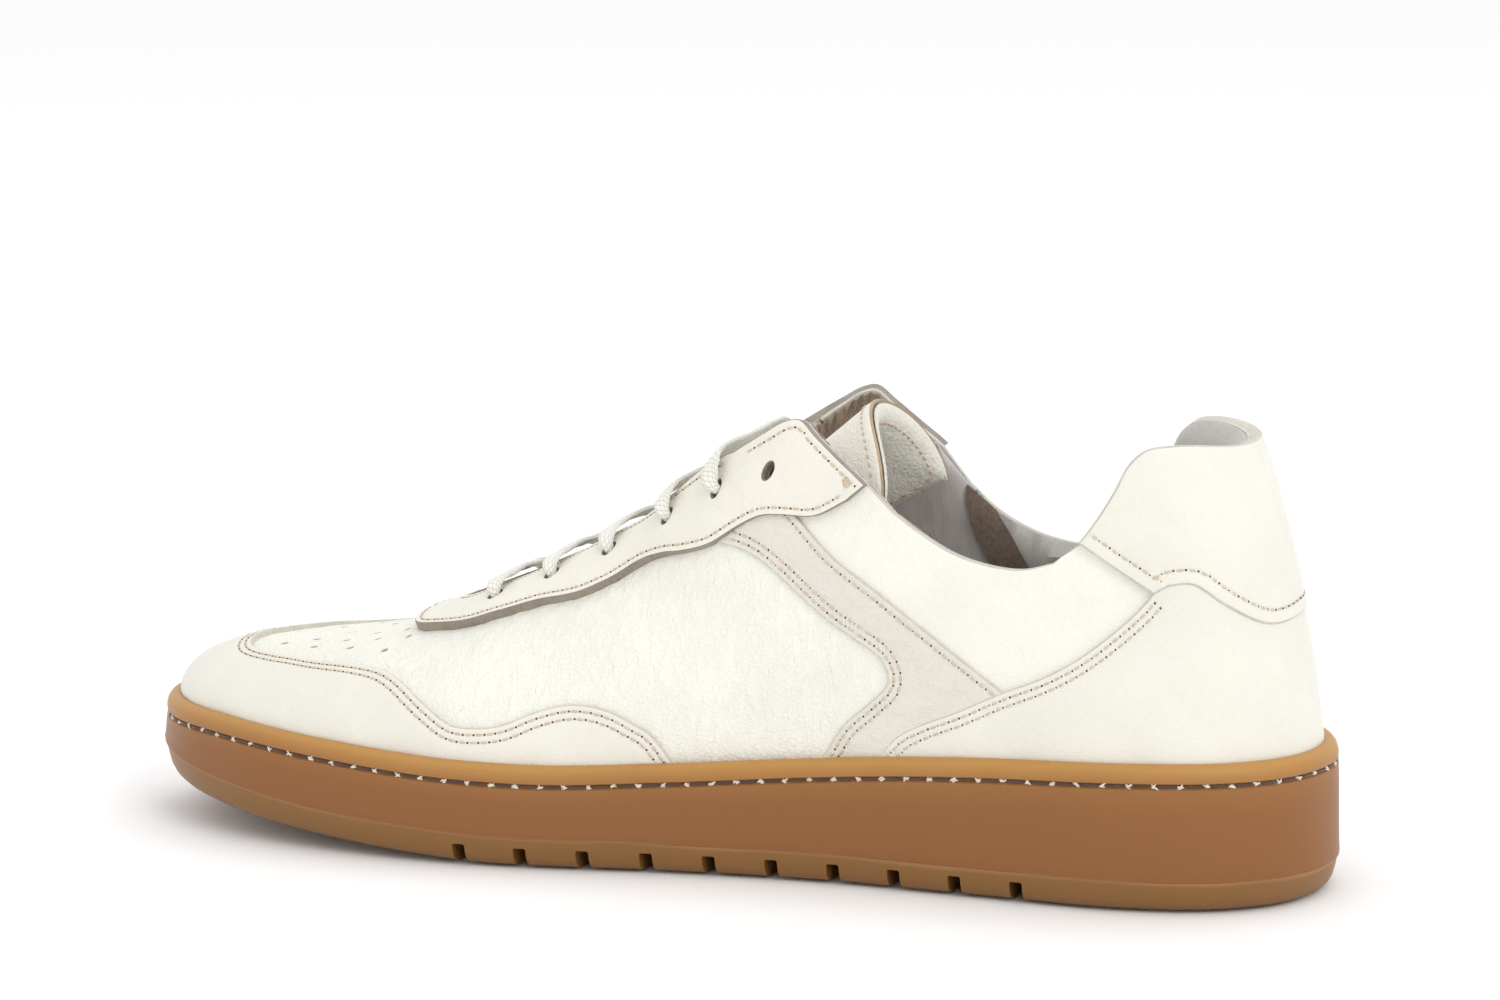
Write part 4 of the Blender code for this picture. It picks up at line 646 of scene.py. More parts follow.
def woven_cotton(name, colour):
    """Flat braided lace: two rows of slanting yarns, from the piece's own map of length and width, with painted
    shade between the yarns.
    """
    made, tree, shader = new_material(name, colour, 0.88, Sheen_Weight=0.35, Sheen_Roughness=0.45)
    where = node(tree, "ShaderNodeUVMap", uv_map="braid")
    parts = node(tree, "ShaderNodeSeparateXYZ")
    tree.links.new(where.outputs["UV"], parts.inputs[0])
    along, across = parts.outputs["X"], parts.outputs["Y"]
    middle = math_node(tree, "ABSOLUTE", math_node(tree, "SUBTRACT", math_node(tree, "FRACT", across), 0.5))
    lean = math_node(tree, "ADD", math_node(tree, "MULTIPLY", along, 1.0 / 0.0011),
                     math_node(tree, "MULTIPLY", middle, 5.0))
    yarn = math_node(tree, "ABSOLUTE", math_node(tree, "SINE", math_node(tree, "MULTIPLY", lean, math.pi)))
    columns = math_node(tree, "MULTIPLY", across, 12 * math.pi)
    columns = math_node(tree, "ABSOLUTE", math_node(tree, "SINE", columns))
    height = math_node(tree, "MULTIPLY", math_node(tree, "POWER", yarn, 0.6),
                       math_node(tree, "POWER", columns, 0.4))
    fuzz = noise(tree, coordinates(tree), 1800.0, 3.0, 0.7)
    mixed = blend(tree, (height, 0.7), (fuzz, 0.3))
    # painted shade: the low places between the yarns are darkened to 0.72 of the cotton's colour
    shaded_yarns = ramp(tree, mixed, [(0.12, shade(colour, 0.72)), (0.45, shade(colour, 0.95)), (0.85, colour)])
    tree.links.new(shaded_yarns, shader.inputs["Base Color"])
    bump(tree, shader, mixed, 0.00035)
    return made


# the last number of each leather is the strength of its painted shade in the grain lines and creases
CREAM = leather("cream_leather", (0.875, 0.865, 0.79), 0.52, 0.0012, 0.00011, 0.0002, (1.6, 1.0, 0.6), 0.10)
QUARTER = leather("quarter_leather", (0.865, 0.85, 0.775), 0.5, 0.0010, 0.00005, 0.0001, (1.0, 1.0, 0.8), 0.06)
SMOOTH = leather("smooth_leather", (0.79, 0.77, 0.69), 0.42, 0.0008, 0.00004, 0.0001, (0.5, 0.5, 0.5), 0.04)
STRIPE = leather("stripe_leather", (0.745, 0.715, 0.64), 0.46, 0.0009, 0.00006, 0.00018, (0.8, 1.0, 1.3), 0.10)
STAY_LEATHER = leather("stay_leather", (0.815, 0.79, 0.70), 0.45, 0.0009, 0.00006, 0.00015, (0.6, 0.6, 0.8),
                       0.06)
TONGUE_HIDE = leather("tongue_leather", (0.84, 0.81, 0.72), 0.5, 0.0012, 0.00008, 0.00015, (1.2, 1.0, 1.0),
                      0.08)
FACING = leather("facing_leather", (0.84, 0.815, 0.73), 0.36, 0.0013, 0.0001, 0.0002, (1.0, 1.3, 0.7), 0.15)
RAW_EDGE = fibrous("raw_edge", (0.46, 0.43, 0.37), (0.70, 0.66, 0.58), 1600.0, 0.00015)
RAW_TAN = fibrous("raw_tan_edge", (0.34, 0.235, 0.14), (0.56, 0.42, 0.28), 1600.0, 0.00015)
RAW_BROWN = fibrous("raw_brown_edge", (0.18, 0.15, 0.118), (0.36, 0.31, 0.25), 1500.0, 0.0002)
SUEDE = fibrous("brown_suede", (0.11, 0.078, 0.056), (0.24, 0.178, 0.132), 900.0, 0.0003, sheen=0.5)
TEXTILE = textile("lining_textile", (0.38, 0.35, 0.335), (0.60, 0.56, 0.535), 0.0008, 0.00006)
SOFT = fibrous("soft_lining", (0.36, 0.345, 0.32), (0.50, 0.48, 0.455), 1300.0, 0.0001, sheen=0.4)
GUM = gum_rubber("gum_rubber")
COTTON = woven_cotton("lace_cotton", (0.91, 0.895, 0.82))
THREAD = fibrous("tan_thread", (0.52, 0.38, 0.26), (0.78, 0.65, 0.50), 3000.0, 0.00012, 0.8)
KNOT = fibrous("sole_knot", (0.62, 0.56, 0.46), (0.90, 0.86, 0.78), 2600.0, 0.0003, 0.9)
# near-black: the groove's thread coloured as painted shadow of the groove
GROOVE_THREAD_SHADE = fibrous("sole_thread_shade", (0.045, 0.020, 0.010), (0.13, 0.06, 0.028), 2600.0, 0.0003, 0.8)
# near-black: painted shade of the needle holes at the ends of the stitches
NEEDLE_HOLE_SHADE = fibrous("needle_hole_shade", (0.05, 0.035, 0.022), (0.12, 0.09, 0.062), 2000.0, 0.0001)
EVA = fibrous("eva_foam", (0.66, 0.64, 0.59), (0.78, 0.76, 0.71), 1500.0, 0.0002)
FOAM = fibrous("open_foam", (0.60, 0.57, 0.48), (0.80, 0.77, 0.68), 1400.0, 0.0004)
BOARD_FIBRE = fibrous("fibre_board", (0.48, 0.38, 0.25), (0.66, 0.55, 0.40), 700.0, 0.0002)
AGLET = fibrous("aglet_plastic", (0.78, 0.76, 0.69), (0.86, 0.84, 0.78), 500.0, 0.00004, 0.3, 0.0)

# --- fine meshes -----------------------------------------------------------------------------------------
SCALE = np.array([350.0, 78.0])      # makes the (run, rise) plane roughly true to millimetres
FINE = 1.5                           # lattice step in that plane
EDGE_STEP = 1.3


def put(name, verts, faces, finishes, body="shoe", faces_finish=None, sharp=50, uv=None):
    """Adds a mesh as a piece that rides on a body."""
    mesh = bpy.data.meshes.new(name)
    mesh.from_pydata(np.asarray(verts).tolist(), [], [tuple(int(k) for k in face) for face in faces])
    for finish in finishes:
        mesh.materials.append(finish)
    if faces_finish is not None:
        mesh.polygons.foreach_set("material_index", np.asarray(faces_finish, np.int32))
    if uv is not None:
        layer = mesh.uv_layers.new(name="braid")
        corners = np.empty(len(mesh.loops), np.int32)
        mesh.loops.foreach_get("vertex_index", corners)
        layer.data.foreach_set("uv", np.asarray(uv)[corners].ravel())
    mesh.shade_smooth()
    mesh.set_sharp_from_angle(angle=math.radians(sharp))
    made = bpy.data.objects.new(name, mesh)
    bpy.context.collection.objects.link(made)
    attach(made, body)
    return made


def inside_mask(loop, spots):
    """Which spots lie inside a closed loop."""
    a, b = loop, np.roll(loop, -1, axis=0)
    result = np.zeros(len(spots), bool)
    for (ax, ay), (bx, by) in zip(a, b):
        if ay == by:
            continue
        hit = ((ay > spots[:, 1]) != (by > spots[:, 1]))
        result ^= hit & (spots[:, 0] < (bx - ax) * (spots[:, 1] - ay) / (by - ay) + ax)
    return result


def nearest(points, spots):
    """Distance from each spot to the nearest of the points."""
    best = np.full(len(spots), 1e9)
    for start in range(0, len(points), 200):
        block = points[start:start + 200]
        best = np.minimum(best, np.linalg.norm(spots[:, None] - block[None], axis=-1).min(1))
    return best


def even(places, step=EDGE_STEP, closed=False, smooth=True):
    """A line of places through the given ones, smooth and evenly spaced."""
    plane = np.array(places, float) * SCALE
    if smooth and len(plane) > 2:
        plane = smooth_path(plane, 10, closed)
    if closed:
        plane = np.vstack([plane, plane[:1]])
    lengths = np.linalg.norm(np.diff(plane, axis=0), axis=1)
    along = np.concatenate([[0], np.cumsum(lengths)])
    count = max(2, int(round(along[-1] / step)) + 1)
    stops = np.linspace(0, along[-1], count)
    line = np.column_stack([np.interp(stops, along, plane[:, k]) for k in range(2)])
    return line[:-1] / SCALE if closed else line / SCALE


def joined(*lines):
    """One outline from lines that follow each other, without doubled corners."""
    places = []
    for line in lines:
        for place in np.asarray(line, float):
            if not places or np.linalg.norm((place - places[-1]) * SCALE) > 0.35:
                places.append(place)
    if np.linalg.norm((places[0] - places[-1]) * SCALE) < 0.35:
        places.pop()
    return np.array(places)


def jacobian(side, run, rise):
    step = 0.003
    run_a, run_b = np.clip(run - step, 0, 1), np.clip(run + step, 0, 1)
    rise_a, rise_b = rise - step, np.clip(rise + step, None, 1)
    along = (upper(side, run_b, rise) - upper(side, run_a, rise)) / (run_b - run_a)[..., None]
    across = (upper(side, run, rise_b) - upper(side, run, rise_a)) / (rise_b - rise_a)[..., None]
    return along, across


def offset_line(side, line, distance, outline=None):
    """The line moved along the surface, into the outline where one is given."""
    line = np.asarray(line, float)
    run, rise = line[:, 0], line[:, 1]
    points = upper(side, run, rise)
    tangent = np.gradient(points, axis=0)
    tangent /= np.linalg.norm(tangent, axis=1)[:, None]
    sideways = np.cross(outward(side, run, rise), tangent)
    along, across = jacobian(side, run, rise)
    basis = np.stack([along, across], -1)
    solve = np.linalg.pinv(basis)
    move = np.einsum("nij,nj->ni", solve, sideways) * distance
    if outline is not None:
        k = len(line) // 2
        test = (line + move)[k:k + 1] * SCALE
        if not inside_mask(np.asarray(outline) * SCALE, test)[0]:
            move = -move
    return line + move


def even_line(side, line, pitch):
    """Places along a line, a true distance apart on the surface."""
    line = np.asarray(line, float)
    points = upper(side, line[:, 0], line[:, 1])
    along = np.concatenate([[0], np.cumsum(np.linalg.norm(np.diff(points, axis=0), axis=1))])
    count = max(2, int(along[-1] / pitch))
    stops = (np.arange(count) + 0.5) * along[-1] / count
    return np.column_stack([np.interp(stops, along, line[:, k]) for k in range(2)])


random = np.random.default_rng(7)
WAVES = [(random.normal(size=3), random.uniform(0, 6.28), length)
         for length in (0.034, 0.028, 0.024, 0.019, 0.016, 0.013, 0.011)]


def swell(points, amount=0.22 * MM):
    """Slow unevenness that all the leather shares."""
    points = np.asarray(points)
    total = np.zeros(points.shape[:-1])
    for direction, phase, length in WAVES:
        direction = direction / np.linalg.norm(direction)
        total += np.sin(points @ direction * 2 * math.pi / length + phase) * (length / 0.034)
    return total * amount / 2.2


def plane_region(side, outline, holes=(), rows=(), step=FINE, flank=0.75):
    """Triangles over an outline, less its holes, with a sunk line of points along each stitch row."""
    loops = [np.asarray(loop) * SCALE for loop in (outline, *holes)]
    sunk_line, flank_line = [], []
    for row in rows:
        middle = even(row, 1.1, smooth=False)
        sunk_line.append(middle * SCALE)
        for shift in (-flank, flank):
            flank_line.append(offset_line(side, middle, shift * MM) * SCALE)
    boundary = np.vstack(loops)
    extra = []
    for points, sunk in [(p, 1.0) for p in sunk_line] + [(p, 0.0) for p in flank_line]:
        ok = inside_mask(loops[0], points) & (nearest(boundary, points) > 0.45)
        extra += [(p, sunk) for p in points[ok]]
    low, high = loops[0].min(0), loops[0].max(0)
    xs, ys = np.arange(low[0], high[0], step), np.arange(low[1], high[1], step * 0.866)
    grid = np.array([(x + (0.5 * step if j % 2 else 0.0), y) for j, y in enumerate(ys) for x in xs])
    keep = inside_mask(loops[0], grid)
    for loop in loops[1:]:
        keep &= ~inside_mask(loop, grid)
    grid = grid[keep]
    grid = grid[nearest(boundary, grid) > 0.62 * step]
    if extra:
        grid = grid[nearest(np.array([p for p, _ in extra]), grid) > 0.62 * step]
    points, edges, depth = [], [], []
    for loop in loops:
        start = len(points)
        points += [tuple(p) for p in loop]
        edges += [(start + k, start + (k + 1) % len(loop)) for k in range(len(loop))]
    depth = [0.0] * len(points) + [sunk for _, sunk in extra] + [0.0] * len(grid)
    points += [tuple(p) for p, _ in extra] + [tuple(p) for p in grid]
    flat, _, faces, origin, *_ = delaunay_2d_cdt([Vector(p) for p in points], edges, [], 0, 1e-4)
    flat = np.array([tuple(p) for p in flat])
    sunk = np.array([max([depth[k] for k in source] or [0.0]) for source in origin])
    faces = np.array([tuple(face) for face in faces if len(face) == 3])
    centre = flat[faces].mean(1)
    keep = inside_mask(loops[0], centre)
    for loop in loops[1:]:
        keep &= ~inside_mask(loop, centre)
    return side, flat / SCALE, faces[keep], sunk


def sheet(name, regions, outer, inner, finishes, rounding=0.45 * MM, sink=0.28 * MM, body="shoe",
          wrinkle=None, sharp=50):
    """A closed sheet over one or two regions, with rounded rims; offsets are numbers or functions."""
    verts, normals, places, sides, sunk, faces = [], [], [], [], [], []
    shared = []
    for side, flat, triangles, depth in regions:
        used = np.unique(triangles)
        points = upper(side, flat[used, 0], flat[used, 1])
        facing = outward(side, flat[used, 0], flat[used, 1])
        index = np.full(len(flat), -1)
        joins = (flat[used, 1] > 0.999) | (flat[used, 0] < 0.001) | (flat[used, 0] > 0.999)
        for k, (vertex, point, normal, join) in enumerate(zip(used, points, facing, joins)):
            match = -1
            if join and shared and side != shared[0][2]:
                gaps = [np.linalg.norm(other - point) for _, other, _ in shared]
                best = int(np.argmin(gaps))
                if gaps[best] < 0.35 * MM:
                    match = shared[best][0]
            if match < 0:
                match = len(verts)
                verts.append(point)
                normals.append(np.zeros(3))
                places.append(flat[vertex])
                sides.append(side)
                sunk.append(depth[vertex])
                if join and (not shared or side == shared[0][2]):
                    shared.append((match, point, side))
            normals[match] = normals[match] + normal
            index[vertex] = match
        block = index[triangles]
        block = block[(block != np.roll(block, 1, axis=1)).all(1)]
        ids = np.array(verts)
        turn = np.cross(ids[block[:, 1]] - ids[block[:, 0]], ids[block[:, 2]] - ids[block[:, 0]])
        against = np.einsum("ij,ij->i", turn, np.array(normals)[block[:, 0]])
        block[against < 0] = block[against < 0][:, ::-1]
        faces.append(block)
    verts, normals, places, sunk = np.array(verts), np.array(normals), np.array(places), np.array(sunk)
    normals /= np.linalg.norm(normals, axis=1)[:, None]
    sides = np.array(sides)
    faces = np.vstack(faces)

    def offsets(value):
        if not callable(value):
            return np.full(len(verts), float(value))
        result = np.zeros(len(verts))
        for side in np.unique(sides):
            pick = sides == side
            result[pick] = value(int(side), places[pick, 0], places[pick, 1])
        return result

    lift = swell(verts)
    top = offsets(outer) + lift - sunk * sink
    if wrinkle is not None:
        top += wrinkle(verts)
    low = offsets(inner) + lift
    directed = np.vstack([faces[:, [0, 1]], faces[:, [1, 2]], faces[:, [2, 0]]])
    known = {(int(a), int(b)) for a, b in directed}
    rim = [(a, b) for a, b in known if (b, a) not in known]
    rim.sort()
    away = np.zeros_like(verts)
    for a, b in rim:
        direction = np.cross(verts[b] - verts[a], normals[a] + normals[b])
        direction /= max(np.linalg.norm(direction), 1e-12)
        away[a] += direction
        away[b] += direction
    size = np.linalg.norm(away, axis=1)
    on_rim = size > 0
    away[on_rim] /= size[on_rim][:, None]
    count = len(verts)
    r = np.minimum(rounding, (top - low) * 0.45)[:, None]
    top_points = verts + normals * top[:, None]
    low_points = verts + normals * low[:, None]
    top_points[on_rim] -= (away * r)[on_rim]
    rim_index = np.flatnonzero(on_rim)
    slot_of = np.full(count, -1)
    slot_of[rim_index] = np.arange(len(rim_index))
    rings = []
    for back, drop in ((0.62, 0.08), (0.29, 0.29), (0.08, 0.62), (0.0, 1.0)):
        ring = verts + normals * (top[:, None] - r * drop) - away * r * back
        rings.append(ring[rim_index])
    all_points = np.vstack([top_points, low_points, *rings])
    base = [2 * count + k * len(rim_index) for k in range(len(rings))]
    quads, finish = [], []
    for a, b in rim:
        chain_a = [a] + [start + slot_of[a] for start in base] + [count + a]
        chain_b = [b] + [start + slot_of[b] for start in base] + [count + b]
        for k in range(len(chain_a) - 1):
            quads.append((chain_b[k], chain_a[k], chain_a[k + 1], chain_b[k + 1]))
            finish.append(0 if k < 1 else len(finishes) - 1)
    whole = [tuple(f) for f in faces] + [tuple(f[::-1] + count) for f in faces] + quads
    index = [0] * len(faces) + [0] * len(faces) + finish
    return put(name, all_points, whole, finishes, body, index, sharp)


# --- stitches --------------------------------------------------------------------------------------------
class Threads:
    """Collects stitches of one colour, then makes one piece of them."""

    def __init__(self, name, finish, width=0.55 * MM, bulge=0.30 * MM):
        self.name, self.finish, self.width, self.bulge = name, finish, width, bulge
        self.verts, self.faces = [], []

    def stitch(self, start, end, normal, width=None, bulge=None):
        width, bulge = width or self.width, bulge or self.bulge
        along = end - start
        length = np.linalg.norm(along)
        along = along / length
        normal = normal - along * (normal @ along)
        normal /= np.linalg.norm(normal)
        across = np.cross(normal, along)
        base = len(self.verts)
        stations = [(0.0, 0.35, -1.1), (0.10, 0.8, -0.1), (0.3, 1.0, 0.55), (0.5, 1.0, 0.75),
                    (0.7, 1.0, 0.55), (0.90, 0.8, -0.1), (1.0, 0.35, -1.1)]
        for share, size, height in stations:
            centre = start + along * length * share + normal * bulge * height
            for k in range(6):
                angle = k * math.pi / 3
                self.verts.append(centre + (across * math.cos(angle) + normal * math.sin(angle) * 0.8)
                                  * width / 2 * size)
        rings = len(stations)
        for ring in range(rings - 1):
            for k in range(6):
                j = (k + 1) % 6
                a, b = base + ring * 6, base + (ring + 1) * 6
                self.faces.append((a + k, a + j, b + j, b + k))
        self.faces.append(tuple(base + k for k in range(6))[::-1])
        self.faces.append(tuple(base + (rings - 1) * 6 + k for k in range(6)))

    def make(self, body="shoe", slot=None):
        return put(self.name, self.verts, self.faces, [self.finish], body, None, 80)


tan, holes = Threads("upper_stitches", THREAD), Threads("needle_hole_shadows", NEEDLE_HOLE_SHADE)


def sew(side, line, height, pitch=2.7 * MM, share=0.70, sunk=0.28 * MM):
    """Stitches along a line of places, at a height over the base leather, with painted shade at each needle hole
    between them.
    """
    spots = even_line(side, line, pitch)
    points = upper(side, spots[:, 0], spots[:, 1])
    facing = outward(side, spots[:, 0], spots[:, 1])
    points = points + facing * (height + swell(points) - sunk * 0.9)[:, None]
    tangent = np.gradient(points, axis=0)
    tangent /= np.linalg.norm(tangent, axis=1)[:, None]
    for point, normal, ahead in zip(points, facing, tangent):
        half = ahead * pitch * share / 2
        tan.stitch(point - half, point + half, normal)
        gap = point + ahead * pitch / 2
        # a near-black dash in each gap between stitches: painted shade where the thread goes into the leather
        holes.stitch(gap - ahead * 0.30 * MM, gap + ahead * 0.30 * MM, normal, 0.55 * MM, 0.08 * MM)


# --- outlines --------------------------------------------------------------------------------------------
RUNS = np.linspace(0, 1, 300)
BELOW_RIM = -0.014


def runs_line(start, end, rise):
    """A line at one rise, a number or a function of the run, between two runs."""
    line = [(run, rise(run) if callable(rise) else rise)
            for run in [start, *[r for r in (RUNS if start < end else RUNS[::-1])
                                 if min(start, end) + 0.002 < r < max(start, end) - 0.002], end]]
    return even(line, smooth=False)


def rim_line(start, end):
    """Just under the sole's rim, where the overlays end."""
    return runs_line(start, end, BELOW_RIM)


def up_line(run, start, end):
    count = max(2, int(abs(end - start) * SCALE[1] / EDGE_STEP) + 1)
    return np.array([(run, rise) for rise in np.linspace(start, end, count)])


def ridge_line(side, start, end):
    """Along the ridge from one x to another, at the same places for both sides."""
    stations = np.arange(RIDGE_BEHIND[0][1], 0.1, 1.5 * MM)
    low, high = min(start, end), max(start, end)
    chosen = [x for x in stations if low + 0.5 * MM < x < high - 0.5 * MM]
    chosen = chosen if start < end else chosen[::-1]
    return np.array([(ridge_run(side, x), 1.0) for x in [start, *chosen, end]])


def foot_run(side, x, rise=0.0):
    return at_rise(side, [(x, rise)])[0][0]


def hole(side, place, diameter, corners=14):
    run, rise = place
    along, across = jacobian(side, np.array(run), np.array(rise))
    turns = 2 * math.pi * (np.arange(corners) + 0.5) / corners
    return np.column_stack([run + diameter / 2 * np.cos(turns) / np.linalg.norm(along),
                            rise + diameter / 2 * np.sin(turns) / np.linalg.norm(across)])


EYES = {side: at_rise(side, EYELETS) for side in SIDES.values()}
GUARD, FOX, REAR, FRONT, PEAK, LOWER, THROAT, TOP, COLLAR, TAB_FRONT, TAB_LOW = ({} for _ in range(11))
for side in SIDES.values():
    GUARD[side] = even([(0.0, TOE_GUARD_FRONT)] + in_side_view(side, TOE_GUARD_EDGE)
                       + [rim_line(foot_run(side, TOE_GUARD_REAR), 1.0)[0]])
    fox_foot = rim_line(foot_run(side, FOXING_FOOT), 1.0)[0]
    FOX[side] = even([fox_foot] + in_side_view(side, FOXING_EDGE))
    stripe_foot = rim_line(foot_run(side, STRIPE_FRONT_FOOT), 1.0)[0]
    stripe_top = at_rise(side, [(0.0060, 0.445)])
    FRONT[side] = even(stripe_top + in_side_view(side, STRIPE_FRONT[1:]) + [stripe_foot])
    REAR[side] = even(at_rise(side, [(0.0200, 0.425)]) + in_side_view(side, STRIPE_REAR[1:]
                                                                      + [(0.0860, 0.0430)]))
    back = at_height(side, 1.0, COLLAR_BACK)
    PEAK[side] = even(at_rise(side, [THROAT_EDGE[-1]] + STAY_PEAK))
    LOWER[side] = even(at_rise(side, STAY_LOWER + STAY_TIP_ROUND) + [(ridge_run(side, STAY_TIP), 1.0)])
    THROAT[side] = even(at_rise(side, THROAT_EDGE[::-1]) + [(ridge_run(side, THROAT_FRONT), 1.0)])
    TOP[side] = even(in_side_view(side, TOPLINE[side]))
    COLLAR[side] = even(in_side_view(side, [COLLAR_FRONT[side], *COLLAR_EDGE]) + [(1.0, back)])
    TAB_FRONT[side] = even(in_side_view(side, HEEL_TAB_FRONT))
    TAB_LOW[side] = even(in_side_view(side, HEEL_TAB_LOWER) + [(1.0, at_height(side, 1.0, HEEL_TAB_BACK))])

OVER, THICK, TAB = 1.45 * MM, 2.45 * MM, 2.15 * MM      # tops of the overlays, the stay and the heel tab
STRIPE_TOP = 1.1 * MM
DOUBLE_ROW = (1.6 * MM, 3.4 * MM)                        # two rows of stitches, from the edge
SUNK_IN = -0.25 * MM                                     # overlays are pressed a little into the base


def free_edges(side):
    """Points of the throat, topline and collar, where outer leather and lining meet."""
    lines = [THROAT[side], PEAK[side][::2], TOP[side], COLLAR[side]]
    return np.vstack([upper(side, line[:, 0], line[:, 1]) for line in lines])


FREE = {side: free_edges(side) for side in SIDES.values()}


def smoothstep(value, start, width):
    t = np.clip((np.asarray(value, float) - start) / width, 0, 1)
    return t * t * (3 - 2 * t)


def lining_depth(side, run, rise):
    """Outer face of the lining: it meets the leather at a free edge and swells into padding below it."""
    points = upper(side, run, rise)
    away = nearest(FREE[side], points)
    pad = COLLAR_PAD * smoothstep(points[..., 0], 0.055, 0.035) * smoothstep(points[..., 2], 0.060, 0.016)
    rise_in = np.sqrt(np.clip(1 - (1 - np.clip(away / (7 * MM), 0, 1)) ** 2, 0, 1))
    return -LEATHER - 0.05 * MM + (LINING_FACE + LEATHER - pad) * rise_in


def lining_inner(side, run, rise):
    return lining_depth(side, run, rise) - LINING


# --- the upper's leather ---------------------------------------------------------------------------------
def vamp_wrinkle(points):
    """Fine upright folds where the foot bends, and softer ones on the sides."""
    x, _, z = points.T
    flex = np.exp(-((x + 0.030) / 0.045) ** 2)
    fold = np.sin(2 * math.pi * (x / 0.0048 + 1.3 * np.sin(z / 0.009) + 0.7 * np.sin(z / 0.0037 + x / 0.006)))
    cross = np.sin(2 * math.pi * (x / 0.0075 + 0.8 * np.sin(z / 0.006 + 2.0)))
    return (0.07 * fold + 0.06 * cross) * MM * (0.25 + 0.75 * flex)


def build_vamp():
    regions = []
    for side in SIDES.values():
        seam_foot = foot_run(side, SEAM_FOOT)
        seam = even([(seam_foot, 0.0)] + in_side_view(side, SEAM)[::-1] + at_rise(side, [(0.0120, 0.600)]))
        outline = joined(runs_line(0.0, seam_foot, LOW_RISE), up_line(seam_foot, LOW_RISE, 0.0), seam,
                         PEAK[side][:1], THROAT[side], ridge_line(side, THROAT_FRONT, RIDGE_BEHIND[0][1]),
                         up_line(0.0, 1.0, LOW_RISE))
        cuts = [hole(side, place, EYELET) for place in EYES[side][:LACED_ROWS]]
        cuts += [hole(side, place, PERFORATION, 12) for place in at_rise(side, PERFORATIONS)]
        regions.append(plane_region(side, outline, cuts))
    made = sheet("vamp_leather", regions, 0.0, -LEATHER, [CREAM, RAW_EDGE], 0.3 * MM,
                 wrinkle=vamp_wrinkle)
    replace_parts(made, "vamp")


def build_quarters():
    for name, side in SIDES.items():
        seam_foot = foot_run(side, SEAM_FOOT) + 2 * SEAM_SHARE
        seam = even([(seam_foot, 0.0)] + [(a + 2 * SEAM_SHARE, b) for a, b in in_side_view(side, SEAM)[::-1]
                                          + at_rise(side, [(0.0120, 0.600)])])
        collar = COLLAR[side].copy()
        collar[-1, 0] = 1.0 - SEAM_SHARE
        heel = 1.0 - SEAM_SHARE
        outline = joined(runs_line(seam_foot, heel, LOW_RISE), up_line(heel, LOW_RISE, collar[-1, 1]),
                         collar[::-1], TOP[side][::-1], PEAK[side][::-1][:-3], seam[::-1])
        region = plane_region(side, outline, [hole(side, EYES[side][-1], EYELET)])
        made = sheet(f"quarter_leather_{name}", [region], 0.0, -LEATHER, [QUARTER, RAW_EDGE], 0.5 * MM)
        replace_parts(made, f"quarter_{name}")


def build_guard():
    regions = []
    for side in SIDES.values():
        rear = foot_run(side, TOE_GUARD_REAR)
        outline = joined(rim_line(0.0, rear), GUARD[side][::-1],
                         up_line(0.0, TOE_GUARD_FRONT, rim_line(0.0, rear)[0][1]))
        rows = [offset_line(side, GUARD[side], inset, outline) for inset in DOUBLE_ROW]
        regions.append(plane_region(side, outline, (), rows))
        for row in rows:
            sew(side, row[row[:, 0] > 0.004], OVER)
    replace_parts(sheet("toe_guard_leather", regions, OVER, SUNK_IN, [SMOOTH, RAW_EDGE], 0.55 * MM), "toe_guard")


def build_stripes():
    for name, side in SIDES.items():
        stripe_foot, fox_foot = FRONT[side][-1], FOX[side][0]
        bottom = rim_line(stripe_foot[0], fox_foot[0] + 0.012)
        outline = joined(FRONT[side], bottom, REAR[side][::-1])
        rows = [offset_line(side, FRONT[side][3:], d * MM, outline) for d in (1.5, 3.2)]
        rows.append(offset_line(side, REAR[side][2:], 1.8 * MM, outline))
        region = plane_region(side, outline, (), rows)
        made = sheet(f"stripe_leather_{name}", [region], STRIPE_TOP, SUNK_IN, [STRIPE, RAW_EDGE], 0.5 * MM)
        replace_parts(made, f"stripe_{name}")
        for row in rows:
            sew(side, row, STRIPE_TOP)


